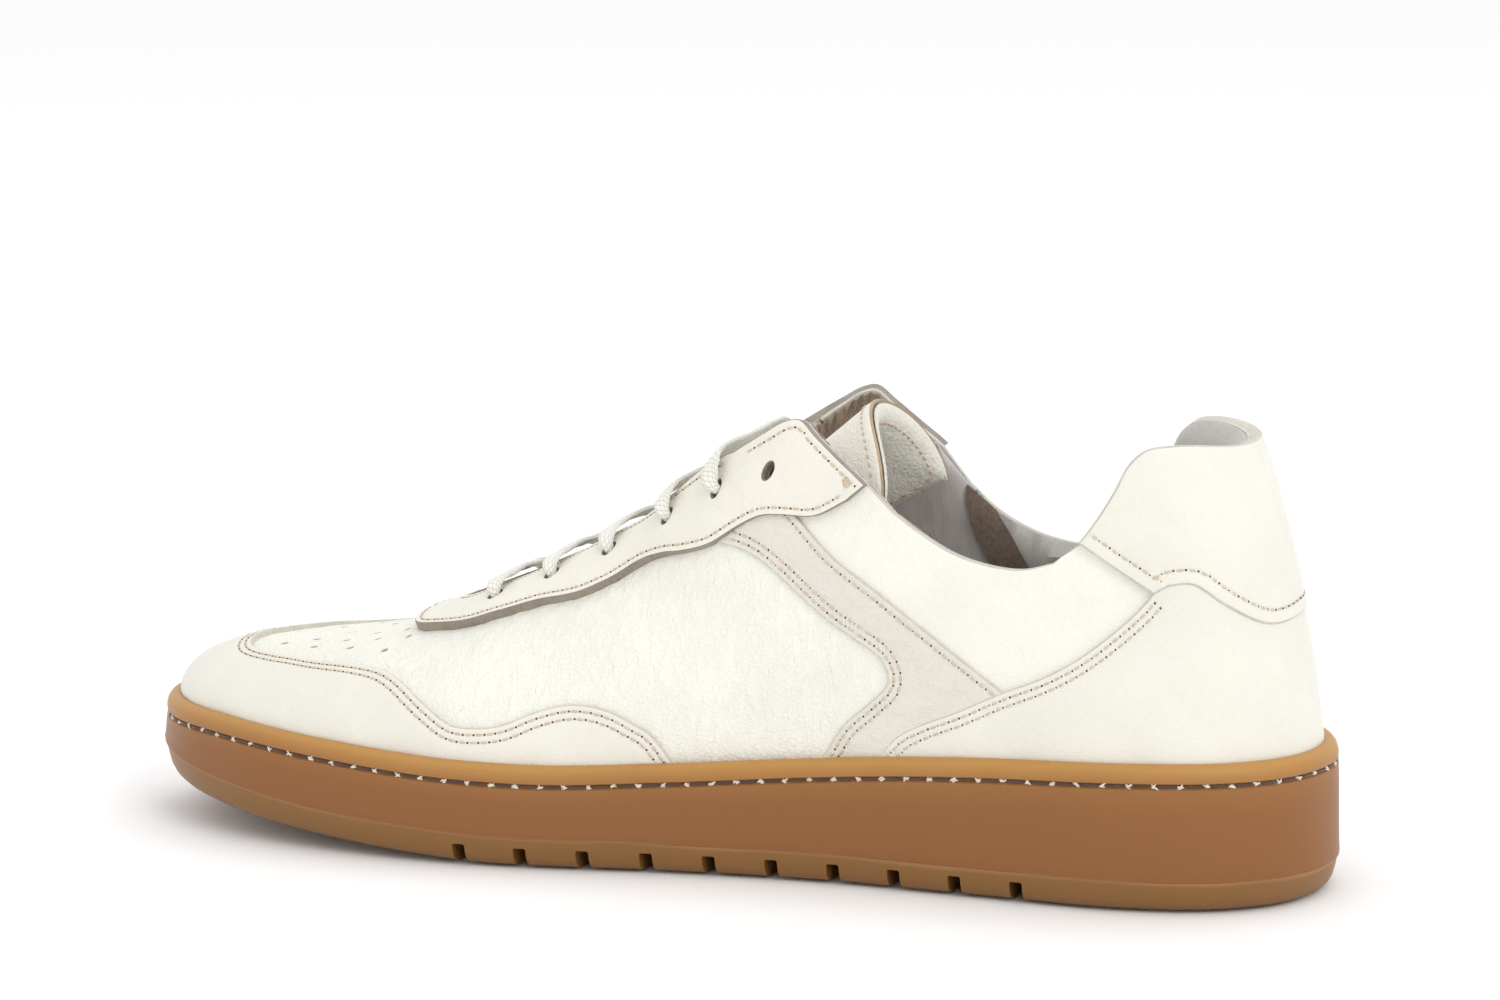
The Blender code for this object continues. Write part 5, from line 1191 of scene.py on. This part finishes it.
def build_foxing():
    regions = []
    for side in SIDES.values():
        fox_foot = FOX[side][0]
        rim = rim_line(fox_foot[0], 1.0)
        under_tab = TAB_LOW[side].copy()
        under_tab[:, 1] += 0.020
        outline = joined(rim, up_line(1.0, rim[-1][1], under_tab[-1][1]), under_tab[::-1], FOX[side][::-1])
        rows = [offset_line(side, FOX[side], d * MM, outline) for d in (1.6, 3.3)]
        regions.append(plane_region(side, outline, (), rows))
        for row in rows:
            sew(side, row, OVER)
    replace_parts(sheet("heel_foxing_leather", regions, OVER, SUNK_IN, [SMOOTH, RAW_EDGE], 0.55 * MM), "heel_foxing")


def build_tab():
    regions = []
    for side in SIDES.values():
        outline = joined(TAB_FRONT[side], TAB_LOW[side], up_line(1.0, TAB_LOW[side][-1][1],
                                                                COLLAR[side][-1][1]), COLLAR[side][::-1])
        lower = joined(TAB_FRONT[side], TAB_LOW[side])
        row = offset_line(side, even(lower), 3.4 * MM, outline)
        row = row[inside_mask(outline * SCALE, row * SCALE)]
        regions.append(plane_region(side, outline, (), [row]))
        sew(side, row, TAB)
    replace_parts(sheet("heel_tab_leather", regions, TAB, SUNK_IN, [SMOOTH, RAW_EDGE], 0.9 * MM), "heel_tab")


def build_stay():
    regions = []
    for side in SIDES.values():
        tip = ridge_line(side, THROAT_FRONT, STAY_TIP)
        outline = joined(LOWER[side][::-1], PEAK[side][::-1], THROAT[side], tip)
        rows = [offset_line(side, LOWER[side][:-2], 1.7 * MM, outline),
                offset_line(side, PEAK[side][3:-1], 1.9 * MM, outline),
                offset_line(side, THROAT[side][2:-3], 2.0 * MM, outline)]
        rows = [row[inside_mask(outline * SCALE, row * SCALE)] for row in rows]
        cuts = [hole(side, place, EYELET) for place in EYES[side]]
        regions.append(plane_region(side, outline, cuts, rows))
        for row in rows:
            sew(side, row, THICK)
        (run, rise), = at_rise(side, [(0.0385, 0.400)])
        centre, facing = upper(side, run, rise), outward(side, run, rise)
        ahead = upper(side, run + 0.01, rise) - centre
        ahead /= np.linalg.norm(ahead)
        across = np.cross(facing, ahead)
        for k in range(4):
            middle = centre + facing * (THICK + 0.05 * MM) + across * (k - 1.5) * 0.5 * MM
            tan.stitch(middle - ahead * MM, middle + ahead * MM, facing, 0.55 * MM)
    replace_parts(sheet("stay_leather", regions, THICK, SUNK_IN, [STAY_LEATHER, RAW_BROWN], 0.4 * MM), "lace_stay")


def build_linings():
    front, rear = [], []
    for name, side in SIDES.items():
        seam = even(in_side_view(side, LINING_SEAM))
        seam_foot = foot_run(side, LINING_SEAM_FOOT)
        seam = even(np.vstack([seam[::4], [[seam_foot, 0.0]]]))
        top = TOP[side]
        k = int(np.argmin(np.linalg.norm((top - seam[0]) * SCALE, axis=1)))
        outline = joined(runs_line(0.0, seam_foot, LOW_RISE), up_line(seam_foot, LOW_RISE, 0.0),
                         seam[::-1], top[:k + 1][::-1], PEAK[side][::-1], THROAT[side],
                         ridge_line(side, THROAT_FRONT, RIDGE_BEHIND[0][1]), up_line(0.0, 1.0, LOW_RISE))
        cuts = [hole(side, place, LINING_EYELET) for place in EYES[side]]
        front.append(plane_region(side, outline, cuts, (), 2.4))
        back = COLLAR[side][-1][1]
        outline = joined(runs_line(seam_foot, 1.0, LOW_RISE), up_line(1.0, LOW_RISE, back),
                         COLLAR[side][::-1], top[k:][::-1], seam)
        rear.append(plane_region(side, outline, (), (), 2.0))
        top_x = np.array([p[0] for p in upper(side, *TOP[side].T)])
        ends = [int(np.argmin(np.abs(top_x - LINING_SEAM[0][0] - shift))) for shift in (-BAND_HALF, BAND_HALF)]
        left = even(np.vstack([TOP[side][ends[0]:ends[0] + 1], in_side_view(
            side, [(x - BAND_HALF, z) for x, z in LINING_SEAM[1:]])]))
        right = even(np.vstack([TOP[side][ends[1]:ends[1] + 1], in_side_view(
            side, [(x + BAND_HALF, z - 0.002) for x, z in LINING_SEAM[1:]])]))
        band = plane_region(side, joined(left, right[::-1]), (), ())
        made = sheet(f"suede_band_{name}", [band], lambda *place: lining_inner(*place) - 0.9 * MM,
                     lambda *place: lining_inner(*place) + 0.2 * MM, [SUEDE, SUEDE], 0.3 * MM)
        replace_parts(made, f"lining_band_{name}")
    made = sheet("front_lining", front, lining_depth, lining_inner, [TEXTILE, TEXTILE], 0.3 * MM)
    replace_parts(made, "vamp_lining")
    spots = np.array([tuple(vert.co) for vert in made.data.vertices])
    brown = np.zeros(len(spots))
    for side in SIDES.values():
        mine = spots[:, 1] * side > 0
        edge = upper(side, *np.vstack([PEAK[side], THROAT[side][:12]]).T)
        brown[mine] = np.clip(0.5 + (15 * MM - nearest(edge, spots[mine])) / (8 * MM), 0, 1)
    brown *= np.clip((spots[:, 0] + 0.004) / 0.006, 0, 1) * np.clip((0.034 - spots[:, 0]) / 0.004, 0, 1)
    suede = made.data.attributes.new("suede", "FLOAT", "POINT")
    suede.data.foreach_set("value", brown.astype(np.float32))
    made = sheet("collar_lining", rear, lining_depth, lining_inner, [SOFT, SOFT], 0.3 * MM)
    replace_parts(made, "quarter_lining")


def build_collar_foam():
    """The padding that the collar's lining is drawn over, thin at its edge and full below it."""
    pad = []
    for side in SIDES.values():
        low = even(in_side_view(side, [(0.0780, 0.0640), (0.0880, 0.0650), (0.1000, 0.0650),
                                       (0.1150, 0.0650), (0.1280, 0.0650)]))
        top = even(in_side_view(side, [(0.1200, 0.1025), (0.1120, 0.1030), (0.1075, 0.0985), (0.1030, 0.0900),
                                       (0.0960, 0.0810), (0.0880, 0.0745), (0.0780, 0.0705)]))
        outline = joined(low, up_line(1.0, at_height(side, 1.0, COUNTER_TOP + 3 * MM),
                                      at_height(side, 1.0, COLLAR_BACK - 3 * MM)), top)
        pad.append(plane_region(side, outline, (), (), 2.0))
    made = sheet("collar_padding", pad, -LEATHER - 0.1 * MM, lambda *place: lining_depth(*place) + 0.15 * MM,
                 [FOAM, FOAM], 0.2 * MM)
    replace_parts(made, "collar_foam")


# --- tongue ----------------------------------------------------------------------------------------------
TONGUE_ROUND = {MEDIAL: 7 * MM, LATERAL: 4 * MM}        # how far its corners are cut back


def tongue_grid(start, end, rows, columns, depth):
    """Points of one face of the tongue; depth is a function of its x and turn."""
    grid = np.zeros((rows + 1, columns + 1, 3))
    for i in range(rows + 1):
        for j in range(columns + 1):
            turn = -1 + 2 * j / columns
            last = end(turn) if callable(end) else end
            x = start + (last - start) * i / rows
            grid[i, j] = tongue_point(x, turn, depth(x, turn))
    return grid


def tongue_piece(name, start, end, outer, inner, finishes, rows, columns=44, rounding=0.45 * MM):
    """A closed layer of the tongue with a rounded rim."""
    top = tongue_grid(start, end, rows, columns, outer)
    low = tongue_grid(start, end, rows, columns, inner)
    middle = (top + low) / 2
    faces, finish = [], []
    width = columns + 1
    ring = ([(i, 0) for i in range(rows)] + [(rows, j) for j in range(columns)]
            + [(i, columns) for i in range(rows, 0, -1)] + [(0, j) for j in range(columns, 0, -1)])
    verts = np.vstack([top.reshape(-1, 3), low.reshape(-1, 3)])
    count = (rows + 1) * width
    for i in range(rows):
        for j in range(columns):
            quad = (i * width + j, (i + 1) * width + j, (i + 1) * width + j + 1, i * width + j + 1)
            faces.append(quad)
            faces.append(tuple(k + count for k in quad[::-1]))
            finish += [0, 0]
    inward = []
    for i, j in ring:
        a = min(max(i, 1), rows - 1), min(max(j, 1), columns - 1)
        direction = middle[a] - middle[i, j]
        inward.append(direction / max(np.linalg.norm(direction), 1e-9))
    inward = np.array(inward)
    ring_ids = [i * width + j for i, j in ring]
    mid_id = len(verts)
    edge = np.array([middle[i, j] for i, j in ring])
    verts = np.vstack([verts, edge])
    for k, vertex in enumerate(ring_ids):
        verts[vertex] += inward[k] * rounding
        verts[vertex + count] += inward[k] * rounding
    for k in range(len(ring)):
        n = (k + 1) % len(ring)
        faces.append((ring_ids[n], ring_ids[k], mid_id + k, mid_id + n))
        faces.append((mid_id + n, mid_id + k, ring_ids[k] + count, ring_ids[n] + count))
        finish += [len(finishes) - 1] * 2
    return put(name, verts, faces, finishes, "tongue", finish, 75)


def build_tongue():
    start, end = TONGUE_RIDGE[0][0], TONGUE_RIDGE[-1][0]
    hide, lining = 1.0 * MM, TONGUE_LINING
    split = end - FACING_DEPTH * 0.78

    def tip(turn):
        return end - TONGUE_ROUND[MEDIAL if turn < 0 else LATERAL] * min(abs(turn), 1.0) ** 4

    def fullness(x, turn):
        edge = min(1 - abs(turn), (tip(turn) - x) / 0.016, (x - start) / 0.02 + 0.15)
        return math.sqrt(max(0.0, 1 - (1 - min(max(edge * 2.2, 0.0), 1.0)) ** 2))

    def foam_face(x, turn):
        return hide + 0.1 * MM + (TONGUE_PAD + 0.4 * MM) * fullness(x, turn)

    made = tongue_piece("tongue_hide", start, tip, lambda x, t: 0.0, lambda x, t: hide, [TONGUE_HIDE, RAW_TAN],
                        76)
    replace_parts(made, "tongue_leather")
    made = tongue_piece("tongue_padding", start + 3 * MM, lambda t: tip(t) - 2 * MM, lambda x, t: hide * 0.9,
                        lambda x, t: foam_face(x, t) + 0.05 * MM, [FOAM, FOAM], 40, 24, 0.1 * MM)
    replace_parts(made, "tongue_foam")
    made = tongue_piece("tongue_textile", start, split, foam_face, lambda x, t: foam_face(x, t) + lining,
                        [TEXTILE, TEXTILE], 50)
    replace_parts(made, "tongue_lining")
    made = tongue_piece("tongue_facing_hide", split + GAP, tip, foam_face,
                        lambda x, t: foam_face(x, t) + lining,
                        [FACING, FACING], 22)
    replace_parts(made, "tongue_facing")
    threads = Threads("tongue_stitches", THREAD)
    for inside_face in (False, True):
        depth = (lambda x, t: foam_face(x, t) + lining) if inside_face else (lambda x, t: 0.0)
        line = [(x, -0.93) for x in np.arange(end - 0.030, end - 0.002, 0.0026)]
        line = [(x, t) for x, t in line if x < tip(t) - 2.2 * MM]
        line += [(tip(t) - 2.2 * MM, t) for t in np.arange(-0.90, 0.92, 0.06)]
        line += [(x, 0.93) for x in np.arange(end - 0.002, end - 0.030, -0.0026) if x < tip(0.93) - 2.2 * MM]
        points = np.array([tongue_point(x, t, depth(x, t)) for x, t in line])
        outside = np.array([tongue_point(x, t, depth(x, t) - MM) for x, t in line]) - points
        outside = -outside if inside_face else outside
        for a, b, normal in zip(points[:-1], points[1:], outside):
            middle, half = (a + b) / 2, (b - a) * 0.36
            if np.linalg.norm(half) < 1.6 * MM:
                threads.stitch(middle - half, middle + half, normal / np.linalg.norm(normal))
    threads.make("tongue", "cream_leather")


# --- lace ------------------------------------------------------------------------------------------------
def lace_mesh(name, stops, steps=9, corners=20):
    """The flat lace along its stops, with its braid's map: u is length, v goes round it."""
    rows = np.array([[*point, *axis, width] for point, axis, width in facing_out(stops)])
    line = smooth_path(rows[:, :3], steps)
    places = np.linspace(0, len(rows) - 1, len(line))
    axes = np.column_stack([np.interp(places, range(len(rows)), rows[:, 3 + k]) for k in range(3)])
    widths = np.interp(places, range(len(rows)), rows[:, 6])
    tangents = np.gradient(line, axis=0)
    tangents /= np.linalg.norm(tangents, axis=1)[:, None]
    axes -= tangents * np.einsum("ij,ij->i", axes, tangents)[:, None]
    axes /= np.linalg.norm(axes, axis=1)[:, None]
    facing = np.cross(axes, tangents)
    turns = 2 * math.pi * np.arange(corners + 1) / corners
    wide = np.sign(np.cos(turns)) * np.abs(np.cos(turns)) ** 0.75 / 2
    deep = np.sign(np.sin(turns)) * np.abs(np.sin(turns)) ** 0.62 / 2
    narrow = np.clip((LACE_WIDTH - widths) / LACE_WIDTH, 0, 1)
    thick = LACE_THICKNESS * (1.0 + 0.35 * narrow)
    verts = (line[:, None] + axes[:, None] * (widths[:, None] * wide)[..., None]
             + facing[:, None] * (thick[:, None] * deep)[..., None])
    lengths = np.concatenate([[0], np.cumsum(np.linalg.norm(np.diff(line, axis=0), axis=1))])
    uv = np.stack(np.broadcast_arrays(lengths[:, None], (np.arange(corners + 1) / corners)[None]), -1)
    count, width = len(line), corners + 1
    faces = [(i * width + k, i * width + k + 1, (i + 1) * width + k + 1, (i + 1) * width + k)
             for i in range(count - 1) for k in range(corners)]
    faces.append(tuple(range(corners))[::-1])
    faces.append(tuple((count - 1) * width + k for k in range(corners)))
    made = put(name, verts.reshape(-1, 3), faces, [COTTON], "shoe", None, 80, uv.reshape(-1, 2))
    return made, line, float(lengths[-1])


def weld_rings(made):
    """Closes the lace's seam line; its map keeps its own value at each corner."""
    bm = bmesh.new()
    bm.from_mesh(made.data)
    bmesh.ops.remove_doubles(bm, verts=bm.verts, dist=1e-7)
    bmesh.ops.recalc_face_normals(bm, faces=bm.faces)
    bm.to_mesh(made.data)
    bm.free()


def build_tails():
    for name, side in SIDES.items():
        made, line, length = lace_mesh(f"lace_end_{name}", tail_stops(side), 6, 12)
        weld_rings(made)
        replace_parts(made, f"lace_tail_{name}")


def visible_end(side, row):
    """Stops of the soft lace from an eyelet to the throat's edge, close over the stay."""
    x, rise = EYELETS[row]
    there = at_rise(side, [(x, rise), (x, float(np.interp(x, *np.array(THROAT_EDGE).T)))])
    reach = np.linalg.norm(upper(side, *there[0]) - upper(side, *there[1]))
    top = ON_TOP + STAY + LACE_THICKNESS / 2
    stops = []
    for depth, share, width in ((INNER_FACE - 1.2 * MM, 0.0, 1.7 * MM), (-2.0 * MM, 0.0, 1.9 * MM),
                                (top - 1.2 * MM, 0.0, 2.5 * MM), (top + 0.5 * MM, 0.10, 3.7 * MM),
                                (top + 1.1 * MM, 0.34, 5.0 * MM), (top + 0.9 * MM, 0.68, LACE_WIDTH),
                                (top + 0.4 * MM, 1.0, LACE_WIDTH)):
        point, along = lace_place(side, row, depth, reach * share)
        stops.append((point, along, width))
    return stops


def visible_bar(side, row):
    start, end = visible_end(side, row), visible_end(-side, row)
    middle = (start[-1][0] + end[-1][0]) / 2 + np.array([0, 0, 0.5 * MM])
    return start + [(middle, start[-1][1], LACE_WIDTH)] + end[::-1]


def build_lace():
    first = (tail_turn(MEDIAL)[::-1] + visible_bar(MEDIAL, 3) + under_run(LATERAL, 1, 3, 0.055)[::-1]
             + visible_bar(LATERAL, 1) + under_run(MEDIAL, 0, 1, 0.0)[::-1])
    second = (visible_bar(MEDIAL, 0) + under_run(LATERAL, 0, 2, -0.055) + visible_bar(LATERAL, 2)
              + under_run(MEDIAL, 2, 4, 0.055) + visible_bar(MEDIAL, 4) + tail_turn(LATERAL))
    made, _, _ = lace_mesh("laced_lace", first + second)
    weld_rings(made)
    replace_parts(made, "lace")


build_tails()
build_lace()


# --- sole ------------------------------------------------------------------------------------------------
SOLE_RUNS = np.linspace(0, 1, 260)
KNOT_PITCH = 5.9 * MM


def build_sole():
    def above_ground(height):
        return lambda x: ground(x) + height

    def below_rim(drop):
        return lambda x: curve(RIM_HEIGHT, x) - drop

    def low_share(share):
        return lambda x: ground(x) + PARTING_HEIGHT + (curve(RIM_HEIGHT, x) - WELT_DROP - WELT_WIDTH
                                                      - ground(x) - PARTING_HEIGHT) * share

    # inset, height, band: where the row lies in the wall's colours
    profile = [(9.0 * MM, above_ground(0.0), 0.0), (5.0 * MM, above_ground(0.15 * MM), 0.0),
               (3.2 * MM, above_ground(0.75 * MM), 0.05), (2.1 * MM, above_ground(1.7 * MM), 0.1),
               (1.4 * MM, above_ground(3.0 * MM), 0.15), (0.8 * MM, above_ground(5.4 * MM), 0.25),
               (0.45 * MM, above_ground(PARTING_HEIGHT - 0.7 * MM), 0.32),
               (0.45 * MM, above_ground(PARTING_HEIGHT - 0.45 * MM), 0.34),
               (0.05 * MM, above_ground(PARTING_HEIGHT - 0.2 * MM), 0.36),
               (0.0, above_ground(PARTING_HEIGHT + 0.3 * MM), 0.40), (0.15 * MM, low_share(0.15), 0.5),
               (0.35 * MM, low_share(0.5), 0.6), (0.5 * MM, low_share(0.85), 0.72),
               (0.70 * MM, below_rim(WELT_DROP + 0.75 * MM), 0.80),
               (1.2 * MM, below_rim(WELT_DROP + 0.45 * MM), 0.83),
               (1.6 * MM, below_rim(WELT_DROP), 0.84), (1.3 * MM, below_rim(WELT_DROP - 0.45 * MM), 0.86),
               (0.80 * MM, below_rim(WELT_DROP - 0.75 * MM), 0.90),
               (0.75 * MM, below_rim(WELT_DROP - WELT_WIDTH), 0.93), (1.1 * MM, below_rim(1.6 * MM), 0.97),
               (1.7 * MM, below_rim(0.75 * MM), 1.0), (2.6 * MM, below_rim(0.15 * MM), 1.0),
               (3.6 * MM, below_rim(0.0), 1.0), (4.6 * MM, below_rim(0.25 * MM), 1.0),
               (RIM_WALL - 0.1 * MM, below_rim(1.0 * MM), 0.95),
               (RIM_WALL, above_ground(CUP_FLOOR + 0.1 * MM), 0.5)]
    loops = []
    for inset, height, _ in profile:
        medial, lateral = (wall(side, SOLE_RUNS, inset) for side in (MEDIAL, LATERAL))
        plan = np.vstack([medial, lateral[-2:0:-1]])
        loops.append(np.column_stack([plan, height(plan[:, 0])]))
    size = len(loops[0])
    verts = np.vstack(loops)
    faces = []
    for row in range(len(loops) - 1):
        for k in range(size):
            j = (k + 1) % size
            a, b = row * size, (row + 1) * size
            faces.append((a + k, a + j, b + j, b + k))
    last = (len(loops) - 1) * size
    half = len(SOLE_RUNS) - 1
    for start, flip in ((0, True), (last, False)):
        for k in range(half):
            corners = [start + k, start + k + 1, start + (size - k - 1) % size, start + (size - k) % size]
            corners = [c for n, c in enumerate(corners) if c not in corners[:n]]
            faces.append(tuple(corners[::-1] if flip else corners))
    made = put("gum_sole", verts, faces, [GUM], "shoe", None, 42)
    bm = bmesh.new()
    bm.from_mesh(made.data)
    bmesh.ops.recalc_face_normals(bm, faces=bm.faces)
    bm.to_mesh(made.data)
    bm.free()
    band = made.data.attributes.new("band", "FLOAT", "POINT")
    band.data.foreach_set("value", np.repeat([b for _, _, b in profile], size).astype(np.float32))
    cutter_mesh = bpy.data.meshes.new("tread_cutter")
    bm = bmesh.new()
    step = (TREAD_LAST - TREAD_FIRST) / (TREAD_GROOVES - 1)
    for k in range(TREAD_GROOVES):
        x = TREAD_FIRST + k * step
        made_box = bmesh.ops.create_cube(bm, size=1.0)
        for vert in made_box["verts"]:
            taper = 0.93 if vert.co.z < 0 else 0.88
            vert.co = Vector((x + vert.co.x * TREAD_WIDTH * taper, vert.co.y * 0.16,
                              float(ground(x)) + vert.co.z * TREAD_DEPTH * 2))
    bmesh.ops.bevel(bm, geom=[e for e in bm.edges if all(v.co.z > 0 for v in e.verts)], offset=0.25 * MM,
                    segments=2, affect="EDGES")
    bm.to_mesh(cutter_mesh)
    bm.free()
    cutter = bpy.data.objects.new("tread_cutter", cutter_mesh)
    bpy.context.collection.objects.link(cutter)
    modifier = made.modifiers.new("tread", "BOOLEAN")
    modifier.operation, modifier.solver, modifier.object = "DIFFERENCE", "EXACT", cutter
    modifier.use_self = False
    depsgraph = bpy.context.evaluated_depsgraph_get()
    cut = bpy.data.meshes.new_from_object(made.evaluated_get(depsgraph))
    made.modifiers.remove(modifier)
    made.data = cut
    bpy.data.objects.remove(cutter)
    made.data.shade_smooth()
    made.data.set_sharp_from_angle(angle=math.radians(42))
    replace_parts(made, "outsole")
    return made


def build_sole_stitches():
    """A thread sunk in the sole's groove, coloured near-black as painted shadow of the groove, and the pale knots
    that lock it.
    """
    knots, groove = Threads("sole_knots", KNOT), Threads("sole_thread_shade", GROOVE_THREAD_SHADE)
    for side in SIDES.values():
        plan = wall(side, SOLE_RUNS, 1.35 * MM)
        line = np.column_stack([plan, curve(RIM_HEIGHT, plan[:, 0]) - WELT_DROP])
        along = np.concatenate([[0], np.cumsum(np.linalg.norm(np.diff(line, axis=0), axis=1))])
        count = int(along[-1] / KNOT_PITCH)
        spots = (np.arange(count) + 0.5) * along[-1] / count
        for place in spots:
            back, middle, front = (np.array([np.interp(place + shift, along, line[:, k]) for k in range(3)])
                                   for shift in (-MM, 0.0, MM))
            ahead = front - back
            ahead /= np.linalg.norm(ahead)
            out = np.cross(ahead, (0, 0, 1.0)) * (1 if side == MEDIAL else -1)
            out /= np.linalg.norm(out)
            # the thread between the knots, near-black as painted shadow of the groove
            groove.stitch(middle - ahead * KNOT_PITCH * 0.47, middle + ahead * KNOT_PITCH * 0.47,
                          out, 0.85 * MM, 0.2 * MM)
            end = middle + ahead * KNOT_PITCH * 0.5 + out * 0.1 * MM
            up = np.array([0, 0, 1.0])
            for _ in range(5):
                lean = random.uniform(-1.1, 1.1)
                way = ahead * math.cos(lean) + up * math.sin(lean)
                start = end + (ahead * random.uniform(-0.35, 0.35) + up * random.uniform(-0.3, 0.3)) * MM
                half = way * random.uniform(0.45, 0.95) * MM
                knots.stitch(start - half, start + half + out * random.uniform(0.0, 0.35) * MM, out,
                             random.uniform(0.32, 0.5) * MM, 0.22 * MM)
    knots.make(slot="lace_cotton")
    groove.make(slot="gum_rubber")


# --- assembly --------------------------------------------------------------------------------------------
build_sole()
build_sole_stitches()
build_vamp()
build_quarters()
build_linings()
build_collar_foam()
build_guard()
build_stripes()
build_foxing()
build_tab()
build_stay()
build_tongue()
tan.make(slot="cream_leather")
holes.make(slot="cream_leather")

KEPT = {"midsole_filler": EVA, "lasting_board": BOARD_FIBRE, "sock_liner": SOFT, "toe_puff": BOARD_FIBRE,
        "heel_counter": BOARD_FIBRE, "aglet_medial": AGLET, "aglet_lateral": AGLET}
for name, finish in KEPT.items():
    for material_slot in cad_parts[name].material_slots:
        material_slot.material = finish


# --- stage -----------------------------------------------------------------------------------------------
FLOOR_HALF, FLOOR_DROP = 6.0, 0.3 * MM
LAMPS = (("key", (1.3, -1.1, 1.3), 1.0, 9.0), ("top", (0.2, 0.5, 2.0), 1.4, 5.0))   # place, size, power


def build_stage():
    bm = bmesh.new()
    bmesh.ops.create_grid(bm, x_segments=1, y_segments=1, size=FLOOR_HALF)
    mesh = bpy.data.meshes.new("floor")
    bm.to_mesh(mesh)
    bm.free()
    floor = bpy.data.objects.new("floor", mesh)
    floor.location = (0, 0, -FLOOR_DROP)
    bpy.context.collection.objects.link(floor)
    finish, _, _ = new_material("floor_white", (0.96, 0.96, 0.96), 0.9)
    mesh.materials.append(finish)
    world = bpy.data.worlds.new("studio")
    bpy.context.scene.world = world
    world.use_nodes = True
    background = world.node_tree.nodes["Background"]
    background.inputs["Color"].default_value = (1.0, 1.0, 1.0, 1.0)
    background.inputs["Strength"].default_value = 1.0
    for name, place, size, power in LAMPS:
        data = bpy.data.lights.new(name, "AREA")
        data.size, data.energy = size, power
        lamp = bpy.data.objects.new(name, data)
        lamp.location = place
        lamp.rotation_mode = "QUATERNION"
        lamp.rotation_quaternion = (Vector((0, 0, 0.05)) - Vector(place)).to_track_quat("-Z", "Y")
        bpy.context.collection.objects.link(lamp)
    bpy.context.scene.view_settings.view_transform = "Standard"


build_stage()
